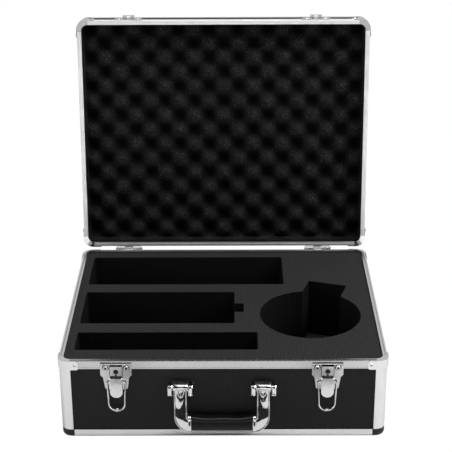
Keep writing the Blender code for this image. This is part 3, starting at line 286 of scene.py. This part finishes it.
def link_or_set(tree, socket, value):
    """Link a socket to another, or give it a number or a colour."""
    if isinstance(value, bpy.types.NodeSocket):
        tree.links.new(value, socket)
    elif isinstance(value, tuple) and socket.type == "RGBA":
        socket.default_value = (*value, 1)
    else:
        socket.default_value = value


def maths(tree, operation, first, second=0.0, clamp=False):
    node = tree.nodes.new("ShaderNodeMath")
    node.operation = operation
    node.use_clamp = clamp
    link_or_set(tree, node.inputs[0], first)
    link_or_set(tree, node.inputs[1], second)
    return node.outputs[0]


def smooth_step(tree, value, start, end):
    """0 before start, 1 past end, smooth between; start may lie above end."""
    node = tree.nodes.new("ShaderNodeMapRange")
    node.interpolation_type = "SMOOTHSTEP"
    link_or_set(tree, node.inputs["Value"], value)
    if start > end:
        node.inputs["From Min"].default_value = end
        node.inputs["From Max"].default_value = start
        node.inputs["To Min"].default_value = 1
        node.inputs["To Max"].default_value = 0
    else:
        node.inputs["From Min"].default_value = start
        node.inputs["From Max"].default_value = end
    return node.outputs["Result"]


def mix_color(tree, factor, first, second):
    node = tree.nodes.new("ShaderNodeMix")
    node.data_type = "RGBA"
    link_or_set(tree, node.inputs[0], factor)
    link_or_set(tree, node.inputs[6], first)
    link_or_set(tree, node.inputs[7], second)
    return node.outputs[2]


def new_material(name, color, roughness, metallic=0.0):
    """A material with its node tree and Principled shader."""
    made = bpy.data.materials.new(name)
    made.use_nodes = True
    shader = made.node_tree.nodes["Principled BSDF"]
    shader.inputs["Base Color"].default_value = (*color, 1)
    shader.inputs["Roughness"].default_value = roughness
    shader.inputs["Metallic"].default_value = metallic
    return made, made.node_tree, shader


def object_place(tree):
    return tree.nodes.new("ShaderNodeTexCoord").outputs["Object"]


def scaled(tree, place, scales):
    node = tree.nodes.new("ShaderNodeMapping")
    node.inputs["Scale"].default_value = scales
    tree.links.new(place, node.inputs["Vector"])
    return node.outputs["Vector"]


def noise(tree, place, scale, detail=2.0):
    node = tree.nodes.new("ShaderNodeTexNoise")
    node.inputs["Scale"].default_value = scale
    node.inputs["Detail"].default_value = detail
    tree.links.new(place, node.inputs["Vector"])
    return node.outputs["Fac"]


def bump(tree, shader, height, distance, strength=1.0, edge_radius=0.0):
    node = tree.nodes.new("ShaderNodeBump")
    node.inputs["Strength"].default_value = strength
    node.inputs["Distance"].default_value = distance
    tree.links.new(height, node.inputs["Height"])
    if edge_radius:
        rounding = tree.nodes.new("ShaderNodeBevel")
        rounding.samples = 8
        rounding.inputs["Radius"].default_value = edge_radius
        tree.links.new(rounding.outputs["Normal"], node.inputs["Normal"])
    tree.links.new(node.outputs["Normal"], shader.inputs["Normal"])


def ripple(tree, value, pitch):
    """A wave from 0 to 1 that repeats at a pitch."""
    turn = maths(tree, "MULTIPLY", value, 2 * math.pi / pitch)
    wave = maths(tree, "SINE", turn)
    half = maths(tree, "MULTIPLY", wave, 0.5)
    return maths(tree, "ADD", half, 0.5)


# Finishes

def aluminium(name, color, roughness, streak_scales):
    """Satin anodised aluminium with drawing streaks along its length."""
    made, tree, shader = new_material(name, color, roughness, 1.0)
    place = object_place(tree)
    streaks = noise(tree, scaled(tree, place, streak_scales), 1.0, 3.0)
    cloud = noise(tree, place, 30.0, 2.0)
    tone = maths(tree, "ADD", maths(tree, "MULTIPLY", streaks, 0.7), maths(tree, "MULTIPLY", cloud, 0.3))
    dim = tuple(channel * 0.92 for channel in color)
    tint = mix_color(tree, smooth_step(tree, tone, 0.3, 0.7), dim, color)
    tree.links.new(tint, shader.inputs["Base Color"])
    rough = maths(tree, "ADD", maths(tree, "MULTIPLY", streaks, 0.08), roughness - 0.04)
    tree.links.new(rough, shader.inputs["Roughness"])
    bump(tree, shader, streaks, 0.00001)
    return made


def chrome(name, color, roughness, wave, edge_radius=0.0):
    """Bright plating over pressed or cast metal, not quite flat and a little worn."""
    made, tree, shader = new_material(name, color, roughness, 1.0)
    place = object_place(tree)
    haze = noise(tree, place, 260.0, 3.0)
    rough = maths(tree, "ADD", maths(tree, "MULTIPLY", smooth_step(tree, haze, 0.45, 0.75), 0.10), roughness)
    tree.links.new(rough, shader.inputs["Roughness"])
    dim = tuple(channel * 0.9 for channel in color)
    tree.links.new(mix_color(tree, haze, dim, color), shader.inputs["Base Color"])
    bump(tree, shader, noise(tree, place, 120.0, 1.0), wave, edge_radius=edge_radius)
    return made


def shade_line(tree, value, middle):
    """1 on a line of painted shadow where a value passes its middle, 0 away from it."""
    off = maths(tree, "ABSOLUTE", maths(tree, "SUBTRACT", value, middle))
    return smooth_step(tree, off, SEAM_SHADE_HALF_WIDTH * 1.2, SEAM_SHADE_HALF_WIDTH * 0.5)


def rivet_distance(tree, across, height, center):
    """How far a point of a plate lies from a rivet's middle."""
    beside = maths(tree, "SUBTRACT", across, center[0])
    above = maths(tree, "SUBTRACT", height, center[1])
    beside_squared = maths(tree, "MULTIPLY", beside, beside)
    above_squared = maths(tree, "MULTIPLY", above, above)
    return maths(tree, "SQRT", maths(tree, "ADD", beside_squared, above_squared))


def brace_chrome():
    """Bright plating for the corner braces, with painted shade darkening the bores of their rivets."""
    made = chrome("brace_chrome", (0.80, 0.80, 0.80), 0.06, 0.00004)
    tree = made.node_tree
    socket = tree.nodes["Principled BSDF"].inputs["Base Color"]
    plating = socket.links[0].from_socket
    split = tree.nodes.new("ShaderNodeSeparateXYZ")
    tree.links.new(object_place(tree), split.inputs[0])
    along = maths(tree, "SUBTRACT", HALF_WIDTH, maths(tree, "ABSOLUTE", split.outputs["X"]))
    middle = (BRACE_EAR_LENGTH - BRACE_RIVET_INSET, BASE_HEIGHT - BRACE_RIVET_DROP)
    radius = rivet_distance(tree, along, split.outputs["Z"], middle)
    # Painted shade: the rivet bore is darkened in the colour, for the shade down the hole.
    bore_shade = smooth_step(tree, radius, BRACE_BORE * 1.2, BRACE_BORE * 0.8)
    tree.links.new(mix_color(tree, bore_shade, plating, (0.02, 0.02, 0.02)), socket)
    return made


def latch_nickel():
    """Pressed nickel for the latch plates, with painted shade in the rivet bores and painted shadow lines
    round the rivet heads, under the lip and round the lock case.
    """
    made, tree, shader = new_material("latch_nickel", (0.58, 0.58, 0.58), 0.16, 1.0)
    split = tree.nodes.new("ShaderNodeSeparateXYZ")
    tree.links.new(object_place(tree), split.inputs[0])
    from_middle = maths(tree, "ABSOLUTE", maths(tree, "SUBTRACT", split.outputs["X"], FITTINGS_CENTER))
    across = maths(tree, "ABSOLUTE", maths(tree, "SUBTRACT", from_middle, LATCH_OFFSET_SHARE * CASE_WIDTH))
    drop = maths(tree, "SUBTRACT", BASE_HEIGHT - LATCH_TOP_DROP, split.outputs["Z"])
    radius = rivet_distance(tree, across, drop, (EYELET_SPREAD, EYELET_DROP))
    # Painted shade: the rivet bores are darkened in the colour.
    bore_shade = smooth_step(tree, radius, EYELET_HOLE * 1.3, EYELET_HOLE * 0.7)
    # Painted shadow lines: dark lines round each rivet head, under the lip and round the lock case.
    seam_shade = maths(tree, "MAXIMUM", bore_shade, shade_line(tree, radius, EYELET_RADIUS + SEAM_SHADE_HALF_WIDTH))
    under_lip_shadow = shade_line(tree, drop, LATCH_LIP_HEIGHT + SEAM_SHADE_HALF_WIDTH)
    seam_shade = maths(tree, "MAXIMUM", seam_shade, under_lip_shadow)
    lock_middle = (LOCK_TOP_DROP + LOCK_BOTTOM_DROP) / 2
    lock_half = (LOCK_BOTTOM_DROP - LOCK_TOP_DROP) / 2
    from_lock = maths(tree, "ABSOLUTE", maths(tree, "SUBTRACT", drop, lock_middle))
    tall = maths(tree, "SUBTRACT", from_lock, lock_half)
    wide = maths(tree, "SUBTRACT", across, LOCK_HALF_WIDTH)
    seam_shade = maths(tree, "MAXIMUM", seam_shade, shade_line(tree, maths(tree, "MAXIMUM", tall, wide), SEAM_SHADE_HALF_WIDTH))
    haze = noise(tree, object_place(tree), 260.0, 3.0)
    color = mix_color(tree, haze, (0.48, 0.48, 0.48), (0.66, 0.66, 0.66))
    tree.links.new(mix_color(tree, seam_shade, color, (0.02, 0.02, 0.02)), shader.inputs["Base Color"])
    bump(tree, shader, haze, 0.00003)
    return made


def laminate():
    """Black laminate embossed with a fine diagonal grid of dots."""
    made, tree, shader = new_material("laminate", (0.012, 0.012, 0.012), 0.42)
    shader.inputs["Specular IOR Level"].default_value = 0.12
    split = tree.nodes.new("ShaderNodeSeparateXYZ")
    tree.links.new(object_place(tree), split.inputs[0])
    along = maths(tree, "ADD", split.outputs["X"], split.outputs["Y"])
    rising = maths(tree, "ADD", along, split.outputs["Z"])
    falling = maths(tree, "SUBTRACT", along, split.outputs["Z"])
    rising_wave = ripple(tree, rising, LAMINATE_PITCH)
    falling_wave = ripple(tree, falling, LAMINATE_PITCH)
    dots = maths(tree, "MULTIPLY", rising_wave, falling_wave)
    cloud = noise(tree, object_place(tree), 9.0, 2.0)
    color = mix_color(tree, smooth_step(tree, dots, 0.1, 0.6), (0.001, 0.001, 0.001), (0.052, 0.052, 0.052))
    color = mix_color(tree, maths(tree, "MULTIPLY", cloud, 0.3), color, (0.012, 0.012, 0.012))
    tree.links.new(color, shader.inputs["Base Color"])
    rough = maths(tree, "SUBTRACT", 0.52, maths(tree, "MULTIPLY", dots, 0.14))
    tree.links.new(rough, shader.inputs["Roughness"])
    bump(tree, shader, dots, 0.00012)
    return made


def insert_foam():
    """Firm grey foam with an embossed diagonal lattice, with painted shade on its cut walls, darkest towards
    the pocket bottoms.
    """
    made, tree, shader = new_material("insert_foam", (0.035, 0.035, 0.035), 0.9)
    shader.inputs["Specular IOR Level"].default_value = 0.1
    split = tree.nodes.new("ShaderNodeSeparateXYZ")
    tree.links.new(object_place(tree), split.inputs[0])
    slanted = maths(tree, "MULTIPLY", split.outputs["Y"], LATTICE_SLOPE)
    rising = maths(tree, "ADD", split.outputs["X"], slanted)
    falling = maths(tree, "SUBTRACT", split.outputs["X"], slanted)
    rising_wave = ripple(tree, rising, LATTICE_PITCH)
    falling_wave = ripple(tree, falling, LATTICE_PITCH)
    lattice = maths(tree, "MULTIPLY", rising_wave, falling_wave)
    grain = noise(tree, object_place(tree), 900.0, 2.0)
    raised = smooth_step(tree, lattice, 0.1, 0.6)
    color = mix_color(tree, raised, (0.001, 0.001, 0.001), (0.090, 0.090, 0.090))
    color = mix_color(tree, maths(tree, "MULTIPLY", grain, 0.25), color, (0.015, 0.015, 0.015))
    # Painted shade: faces that do not look up take a dark wall colour, darker deeper down, for the shade in
    # the pockets.
    normal = tree.nodes.new("ShaderNodeNewGeometry").outputs["Normal"]
    upright = tree.nodes.new("ShaderNodeSeparateXYZ")
    tree.links.new(normal, upright.inputs[0])
    top = smooth_step(tree, upright.outputs["Z"], 0.3, 0.8)
    depth = smooth_step(tree, split.outputs["Z"], FOAM_TOP - INSERT_THICKNESS, FOAM_TOP)
    wall_shade = mix_color(tree, depth, (0.003, 0.003, 0.003), (0.009, 0.009, 0.009))
    tree.links.new(mix_color(tree, top, wall_shade, color), shader.inputs["Base Color"])
    height = maths(tree, "ADD", lattice, maths(tree, "MULTIPLY", grain, 0.3))
    bump(tree, shader, height, 0.0004)
    return made


def pad_foam():
    """The plain black foam at the bottom of the pockets."""
    made, tree, shader = new_material("pad_foam", (0.004, 0.004, 0.004), 0.95)
    grain = noise(tree, object_place(tree), 700.0, 3.0)
    color = mix_color(tree, grain, (0.002, 0.002, 0.002), (0.007, 0.007, 0.007))
    tree.links.new(color, shader.inputs["Base Color"])
    bump(tree, shader, grain, 0.0004)
    return made


def crate_foam():
    """Soft open foam, speckled by its cells, with painted glints on a few cells and painted shade darkening
    its hollows.
    """
    made, tree, shader = new_material("crate_foam", (0.016, 0.016, 0.016), 1.0)
    shader.inputs["Specular IOR Level"].default_value = 0.1
    place = object_place(tree)
    cells = tree.nodes.new("ShaderNodeTexVoronoi")
    cells.inputs["Scale"].default_value = 800.0
    tree.links.new(place, cells.inputs["Vector"])
    speck = smooth_step(tree, cells.outputs["Distance"], 0.75, 0.15)
    grain = noise(tree, place, 500.0, 3.0)
    draw = tree.nodes.new("ShaderNodeSeparateColor")
    tree.links.new(cells.outputs["Color"], draw.inputs[0])
    # Painted glints: a few cells are made bright in the colour, as glints of light.
    painted_glint = maths(tree, "MULTIPLY", smooth_step(tree, draw.outputs["Red"], 0.72, 0.96), speck)
    color = mix_color(tree, speck, (0.007, 0.007, 0.007), (0.020, 0.020, 0.020))
    color = mix_color(tree, painted_glint, color, (0.085, 0.085, 0.085))
    split = tree.nodes.new("ShaderNodeSeparateXYZ")
    tree.links.new(place, split.inputs[0])
    back = maths(tree, "MULTIPLY", split.outputs["Y"], math.sin(LID_OPEN_ANGLE))
    depth = maths(tree, "ADD", back, maths(tree, "MULTIPLY", split.outputs["Z"], math.cos(LID_OPEN_ANGLE)))
    hinge = (HALF_DEPTH + HINGE_AXIS_OUT + SEAT_SHIFT) * math.sin(LID_OPEN_ANGLE)
    rim = hinge + BASE_HEIGHT * math.cos(LID_OPEN_ANGLE)
    peak = rim + CRATE_PEAK_DROP
    # Painted shade: the colour darkens with depth into the hollows.
    hollow_shade = smooth_step(tree, depth, peak + CRATE_WAVE * 0.1, peak + CRATE_WAVE * 0.9)
    color = mix_color(tree, hollow_shade, color, (0.0015, 0.0015, 0.0015))
    tree.links.new(color, shader.inputs["Base Color"])
    bump(tree, shader, maths(tree, "ADD", grain, speck), 0.0005)
    return made


def moulded(name, color, roughness, grain_scale, depth):
    """Moulded plastic or rubber with a fine grain."""
    made, tree, shader = new_material(name, color, roughness)
    shader.inputs["Specular IOR Level"].default_value = 0.3
    grain = noise(tree, object_place(tree), grain_scale, 3.0)
    light = tuple(channel * 1.5 for channel in color)
    tree.links.new(mix_color(tree, grain, color, light), shader.inputs["Base Color"])
    rough = maths(tree, "ADD", maths(tree, "MULTIPLY", grain, 0.16), roughness - 0.08)
    tree.links.new(rough, shader.inputs["Roughness"])
    bump(tree, shader, grain, depth)
    return made


def dress_nodes(cast, rubber):
    """Give each solid its finish by what it is."""
    satin = (0.80, 0.80, 0.80)
    along_x = aluminium("aluminium_x", (0.75, 0.75, 0.75), 0.25, (6, 900, 900))
    # Painted shade: the rim rails take a darker copy of the same aluminium, standing for the shade on them.
    rim_x_shaded = aluminium("aluminium_rim_shaded", (0.58, 0.58, 0.58), 0.25, (6, 900, 900))
    along_y = aluminium("aluminium_y", satin, 0.25, (900, 6, 900))
    along_z = aluminium("aluminium_z", satin, 0.30, (900, 900, 6))
    lid_frames = aluminium("aluminium_lid", satin, 0.44, (120, 500, 500))
    pressed = chrome("chrome_sheet", (0.76, 0.76, 0.76), 0.12, 0.00004, 0.0003)
    plate = latch_nickel()
    boards = laminate()
    plastic = moulded("corner_plastic", (0.010, 0.010, 0.010), 0.42, 700.0, 0.00005)
    # Painted shade: the lock barrel is near-black metal, standing for the shade down the keyhole.
    lock = chrome("lock_metal", (0.03, 0.03, 0.03), 0.25, 0.0001)
    rules = [
        (("base_board", "lid_board"), boards),
        (("base_post",), along_z),
        (("base_rim_rail_front", "base_rim_rail_back"), rim_x_shaded),
        (("base_edge_frame",), along_x),
        (("base_rim_rail",), along_y),
        (("lid_edge_frame", "lid_rim_frame"), lid_frames),
        (("base_foot", "lid_cap"), plastic),
        (("base_rim_corner", "lid_rim_corner"), brace_chrome()),
        (("handle_grip",), rubber),
        (("handle",), cast),
        (("lock_barrel",), lock),
        (("latch_plate",), plate),
        (("latch", "lid_keeper", "hinge"), pressed),
    ]
    for name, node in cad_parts.items():
        for starts, finish in rules:
            if name.startswith(starts):
                node.data.materials.clear()
                node.data.materials.append(finish)
                break


# Mesh building blocks

def add_mesh(name, shape):
    bmesh.ops.recalc_face_normals(shape, faces=shape.faces)
    mesh = bpy.data.meshes.new(name)
    shape.to_mesh(mesh)
    shape.free()
    piece = bpy.data.objects.new(name, mesh)
    SCENE.collection.objects.link(piece)
    return piece


def arc(center, radius, start, end, steps):
    points = []
    for step in range(steps + 1):
        angle = math.radians(start + (end - start) * step / steps)
        points.append((center[0] + radius * math.cos(angle), center[1] + radius * math.sin(angle)))
    return points


def rounded(low, high, radius):
    points = arc((high[0] - radius, high[1] - radius), radius, 0, 90, 5)
    points += arc((low[0] + radius, high[1] - radius), radius, 90, 180, 5)
    points += arc((low[0] + radius, low[1] + radius), radius, 180, 270, 5)
    points += arc((high[0] - radius, low[1] + radius), radius, 270, 360, 5)
    return points


# Foams

def toothed(outline):
    """The same closed outline cut with small teeth at an even pitch."""
    points = [Vector(point) for point in outline]
    lengths = [(after - point).length for point, after in zip(points, points[1:] + points[:1])]
    count = 2 * round(sum(lengths) / TOOTH_PITCH)
    step = sum(lengths) / count
    made = []
    index, passed = 0, 0.0
    for tooth in range(count):
        target = tooth * step
        while passed + lengths[index] < target:
            passed += lengths[index]
            index += 1
        start, end = points[index], points[(index + 1) % len(points)]
        along = (end - start).normalized()
        side = Vector((along.y, -along.x)) * (TOOTH_DEPTH if tooth % 2 else -TOOTH_DEPTH)
        made.append(tuple(start + along * (target - passed) + side))
    return made


def pocket_corners(shares):
    """Low and high corners of a pocket from its shares of the case's width and depth."""
    left, front, width, depth = shares
    low = (left * CASE_WIDTH - HALF_WIDTH, front * CASE_DEPTH - HALF_DEPTH)
    return low, (low[0] + width * CASE_WIDTH, low[1] + depth * CASE_DEPTH)


def middle_pocket_outline():
    """The middle pocket with the short notch in its right end."""
    low, high = pocket_corners(MIDDLE_POCKET_SHARES)
    notch_low = low[1] + NOTCH_FRONT_SHARE * CASE_DEPTH
    notch_high = notch_low + NOTCH_SHARES[1] * CASE_DEPTH
    notch_end = high[0] + NOTCH_SHARES[0] * CASE_WIDTH
    notch = [(high[0], notch_low), (notch_end, notch_low), (notch_end, notch_high), (high[0], notch_high)]
    return rounded(low, high, POCKET_RADIUS) + notch


def round_pocket_outline():
    """The round pocket with its turned, square ended notch."""
    center, _ = pocket_corners((*ROUND_POCKET_SHARES, 0, 0))
    radius = ROUND_RADIUS_SHARE * CASE_DEPTH
    across = ROUND_NOTCH_WIDTH_SHARE * CASE_DEPTH / 2
    opening = math.degrees(math.asin(across / radius))
    middle = 90 + math.degrees(ROUND_NOTCH_TURN)
    points = arc(center, radius, middle + opening, middle + 360 - opening, 90)
    turn = Matrix.Rotation(ROUND_NOTCH_TURN, 2)
    for side in (1, -1):
        corner = Vector((side * across, ROUND_NOTCH_REACH_SHARE * CASE_DEPTH))
        points.append(tuple(turn @ corner + Vector(center)))
    return points


def make_insert():
    """The foam insert with toothed pockets, filled as one sheet and then thickened."""
    low = (-FOAM_HALF_WIDTH, -FOAM_HALF_DEPTH)
    high = (FOAM_HALF_WIDTH, FOAM_HALF_DEPTH)
    outlines = [rounded(low, high, FOAM_CORNER_RADIUS)]
    for shares in (LONG_POCKET_SHARES, SMALL_POCKET_SHARES):
        outlines.append(toothed(rounded(*pocket_corners(shares), POCKET_RADIUS)))
    outlines.append(toothed(middle_pocket_outline()))
    outlines.append(toothed(round_pocket_outline()))
    curve = bpy.data.curves.new("insert", "CURVE")
    curve.dimensions = "2D"
    curve.fill_mode = "BOTH"
    curve.extrude = INSERT_THICKNESS / 2
    for outline in outlines:
        spline = curve.splines.new("POLY")
        spline.points.add(len(outline) - 1)
        spline.use_cyclic_u = True
        for point, (x, y) in zip(spline.points, outline):
            point.co = (x, y, 0, 1)
    sheet = bpy.data.objects.new("sheet", curve)
    SCENE.collection.objects.link(sheet)
    graph = bpy.context.evaluated_depsgraph_get()
    mesh = bpy.data.meshes.new_from_object(sheet.evaluated_get(graph))
    bpy.data.objects.remove(sheet)
    piece = bpy.data.objects.new("foam_insert", mesh)
    SCENE.collection.objects.link(piece)
    mesh.transform(Matrix.Translation((0, SEAT_SHIFT, FOAM_TOP - INSERT_THICKNESS / 2)))
    mesh.materials.clear()
    mesh.materials.append(insert_foam())
    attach(piece, "case")
    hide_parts("base_foam_insert")


def make_pad():
    """The foam pad under the insert, with a slightly uneven face."""
    low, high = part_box("base_foam_pad")
    columns, rows = 60, 48
    shape = bmesh.new()
    grid = []
    for row in range(rows + 1):
        y = low[1] + (high[1] - low[1]) * row / rows
        line = []
        for column in range(columns + 1):
            x = low[0] + (high[0] - low[0]) * column / columns
            sag = PAD_SAG * (1 + math.sin(41 * x + 3 * y) * math.sin(37 * y))
            line.append(shape.verts.new((x, y, high[2] - sag)))
        grid.append(line)
    close_block(shape, grid, low[2])
    piece = add_mesh("foam_pad", shape)
    piece.data.materials.append(pad_foam())
    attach(piece, "case")
    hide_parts("base_foam_pad")


def close_block(shape, grid, level):
    """Skin a grid of vertices and close it with walls down or up to a flat level."""
    for near, far in zip(grid, grid[1:]):
        for column in range(len(near) - 1):
            face = shape.faces.new((near[column], near[column + 1], far[column + 1], far[column]))
            face.smooth = True
    border = grid[0][:-1] + [line[-1] for line in grid[:-1]]
    border += list(reversed(grid[-1][1:])) + [line[0] for line in reversed(grid[1:])]
    floor = [shape.verts.new((vertex.co.x, vertex.co.y, level)) for vertex in border]
    for index in range(len(border)):
        after = (index + 1) % len(border)
        shape.faces.new((border[index], border[after], floor[after], floor[index]))
    shape.faces.new(floor)


def crate_height(x, y):
    """How far the convoluted face lies behind the lid's rim."""
    if min(FOAM_HALF_WIDTH - abs(x), FOAM_HALF_DEPTH - abs(y)) < CRATE_WALL:
        return CRATE_WALL_DROP
    turns = 2 * math.pi / CRATE_PITCH
    phase_y = HALF_DEPTH - FOAM_CLEARANCE - CRATE_PITCH / 2
    wave = math.cos(turns * x) * math.cos(turns * (y - phase_y))
    return CRATE_PEAK_DROP + CRATE_WAVE / 2 * (1 - wave)


def make_crate():
    """The lid's convoluted foam, modelled shut and swung open with the lid."""
    columns = round(2 * FOAM_HALF_WIDTH / CRATE_STEP)
    rows = round(2 * FOAM_HALF_DEPTH / CRATE_STEP)
    shape = bmesh.new()
    grid = []
    for row in range(rows + 1):
        y = -FOAM_HALF_DEPTH + 2 * FOAM_HALF_DEPTH * row / rows
        line = []
        for column in range(columns + 1):
            x = -FOAM_HALF_WIDTH + 2 * FOAM_HALF_WIDTH * column / columns
            line.append(shape.verts.new((x, y, LID_RIM + crate_height(x, y))))
        grid.append(line)
    close_block(shape, grid, LID_RIM + LID_INSIDE)
    piece = add_mesh("crate_foam", shape)
    hinge = Vector((0, HALF_DEPTH + HINGE_AXIS_OUT, BASE_HEIGHT + RIM_GAP / 2))
    swing = Matrix.Translation(hinge) @ Matrix.Rotation(-LID_OPEN_ANGLE, 4, "X") @ Matrix.Translation(-hinge)
    piece.data.transform(Matrix.Translation((0, SEAT_SHIFT, 0)) @ swing)
    piece.data.materials.append(crate_foam())
    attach(piece, "lid")
    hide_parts("lid_crate_foam")


# Handle

def out_of_front(x, z, out):
    """A point at a distance in front of the case."""
    return (FITTINGS_CENTER + x, SEAT_SHIFT - HALF_DEPTH - out, z)


def skin_loops(shape, loops, closed=False):
    """Join closed loops of vertices into a tube, capped or joined end to end."""
    pairs = list(zip(loops, loops[1:]))
    if closed:
        pairs.append((loops[-1], loops[0]))
    for near, far in pairs:
        for index in range(len(near)):
            after = (index + 1) % len(near)
            face = shape.faces.new((near[index], near[after], far[after], far[index]))
            face.smooth = True
    if not closed:
        shape.faces.new(loops[0])
        shape.faces.new(loops[-1])


def bow_rows():
    """Inner and outer ends (x, z) of the bow's cross lines, from the left pivot round to the right one."""
    inner_x = BOW_HALF_WIDTH - BOW_ARM_WIDTH
    bend_top = BOW_FOOT_HEIGHT + BOW_CORNER_RADIUS
    inner_center = (inner_x - BOW_INNER_RADIUS, BOW_FOOT_HEIGHT + BOW_BAR_HEIGHT + BOW_INNER_RADIUS)
    outer_center = (BOW_HALF_WIDTH - BOW_CORNER_RADIUS, bend_top)
    straight, bend = 16, 40
    side = []
    for step in range(straight):
        z = HANDLE_PIVOT_HEIGHT + (bend_top - HANDLE_PIVOT_HEIGHT) * step / straight
        side.append(((inner_x, z), (BOW_HALF_WIDTH, z)))
    inner_bend = arc(inner_center, BOW_INNER_RADIUS, 0, -90, bend)
    outer_bend = arc(outer_center, BOW_CORNER_RADIUS, 0, -90, bend)
    side += list(zip(inner_bend, outer_bend))
    return [((-a[0], a[1]), (-b[0], b[1])) for a, b in side] + list(reversed(side))


def bow_rise(distance, half, crown):
    """How far the bow's front stands over its back at a distance from its edge."""
    radius = BOW_BEAD_RADIUS
    if distance < 2 * radius:
        return BOW_THICKNESS - radius + math.sqrt(max(0.0, radius ** 2 - (distance - radius) ** 2))
    share = 1 - (distance - 2 * radius) / (half - 2 * radius)
    return BOW_THICKNESS - radius - BOW_WEB_STEP + crown * (1 - share ** 2)


def bow_shares():
    """Shares across the bow, close together over the beads."""
    bead = 2 * BOW_BEAD_RADIUS / BOW_ARM_WIDTH
    edge_steps = 10
    web_steps = 14
    web_start = bead * 1.04
    edge = [bead * (1 - math.cos(math.pi * step / edge_steps)) / 2 for step in range(edge_steps + 1)]
    web = [web_start + (0.5 - web_start) * step / web_steps for step in range(web_steps + 1)]
    half = edge + web
    return half + [1 - share for share in reversed(half[:-1])]


def make_bow(finish):
    """The cast bow with beaded edges and a crowned web, its barrels and its collars."""
    shape = bmesh.new()
    loops = []
    for inner, outer in bow_rows():
        width = math.dist(inner, outer)
        crown = BOW_CROWN * abs(outer[0] - inner[0]) / width
        loop = []
        for share in bow_shares():
            x = inner[0] + (outer[0] - inner[0]) * share
            z = inner[1] + (outer[1] - inner[1]) * share
            rise = bow_rise(min(share, 1 - share) * width, width / 2, crown)
            loop.append(shape.verts.new(out_of_front(x, z, BOW_BACK + rise)))
        for x, z in (outer, inner):
            loop.append(shape.verts.new(out_of_front(x, z, BOW_BACK)))
        loops.append(loop)
    skin_loops(shape, loops)
    for turn in (-1, 1):
        add_barrel(shape, turn * BRACKET_OFFSET)
        add_collar(shape, turn)
    piece = add_mesh("bow", shape)
    sharpen(piece, 50)
    piece.data.materials.append(finish)
    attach(piece, "handle")
    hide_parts("handle_bow")


def add_barrel(shape, middle):
    """A turned barrel with its bore, lying along the pivot."""
    half = HANDLE_BARREL_HALF_LENGTH
    edge = BARREL_EDGE
    radius = HANDLE_BARREL_RADIUS
    profile = [(-half, HANDLE_BORE_RADIUS), (-half, radius - edge), (-half + edge, radius)]
    profile += [(half - edge, radius), (half, radius - edge), (half, HANDLE_BORE_RADIUS)]
    loops = []
    for x, around in profile:
        ring = arc((HANDLE_PIVOT_OUT, HANDLE_PIVOT_HEIGHT), around, 0, 360, 48)[:-1]
        loops.append([shape.verts.new(out_of_front(middle + x, z, out)) for out, z in ring])
    skin_loops(shape, loops, closed=True)


def grip_section(height, shoulder):
    """A rounded section (out, z) for the grip and its collars, standing on the grip's foot."""
    center = (GRIP_BACK + GRIP_THICKNESS / 2, BOW_FOOT_HEIGHT + GRIP_STRIP + height / 2)
    half_out, half_height = GRIP_THICKNESS / 2 + shoulder, height / 2 + shoulder
    steps = 56
    points = []
    for step in range(steps):
        across, up = math.cos(math.tau * step / steps), math.sin(math.tau * step / steps)
        points.append((center[0] + half_out * math.copysign(abs(across) ** SECTION_ROUND_SHARE, across),
                       center[1] + half_height * math.copysign(abs(up) ** SECTION_ROUND_SHARE, up)))
    return points


def add_collar(shape, turn):
    """A collar with a rounded face, between an arm and the grip."""
    loops = []
    start = GRIP_HALF_LENGTH + CLEARANCE
    for share, inset in ((0, 1), (0.1, 0.3), (0.25, 0), (0.75, 0), (0.9, 0.3), (1, 1)):
        section = grip_section(GRIP_HEIGHT, COLLAR_SHOULDER - inset * COLLAR_EDGE)
        x = turn * (start + share * COLLAR_THICKNESS)
        loops.append([shape.verts.new(out_of_front(x, z, out)) for out, z in section])
    skin_loops(shape, loops)


def make_grip(finish):
    """The moulded grip, with a slight swell between two waists."""
    shape = bmesh.new()
    loops = []
    stations = 48
    for station in range(stations + 1):
        share = 2 * station / stations - 1
        wave = 0.85 - 0.15 * math.cos(math.tau * share)
        height = GRIP_HEIGHT - GRIP_WAIST * wave * (1 - share ** 4)
        section = grip_section(height, 0)
        loops.append([shape.verts.new(out_of_front(share * GRIP_HALF_LENGTH, z, out)) for out, z in section])
    skin_loops(shape, loops)
    piece = add_mesh("grip", shape)
    sharpen(piece, 40)
    piece.data.materials.append(finish)
    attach(piece, "handle")
    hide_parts("handle_grip")


def sharpen(piece, degrees):
    """Keep edges over an angle sharp on a smooth mesh."""
    piece.data.set_sharp_from_angle(angle=math.radians(degrees))


make_camera()
make_world()
make_lights()
make_floor()
make_flag("bend_flag", 0, *BEND_FLAG)
make_flag("arm_flag", 0, *ARM_FLAG)
make_flag("barrel_flag", 0, *BARREL_FLAG)
make_flag("lug_flag", 0, *LUG_FLAG)
make_flag("left_latch_flag", -LATCH_OFFSET_SHARE * CASE_WIDTH, *LATCH_FLAG)
make_flag("right_latch_flag", LATCH_OFFSET_SHARE * CASE_WIDTH, *LATCH_FLAG)
cast_chrome = chrome("chrome_cast", (0.80, 0.80, 0.80), 0.03, 0.00004)
grip_rubber = moulded("grip_rubber", (0.003, 0.003, 0.003), 0.34, 160.0, 0.0002)
dress_nodes(cast_chrome, grip_rubber)
make_bow(cast_chrome)
make_grip(grip_rubber)
make_insert()
make_pad()
make_crate()
SCENE.view_settings.view_transform = "Standard"
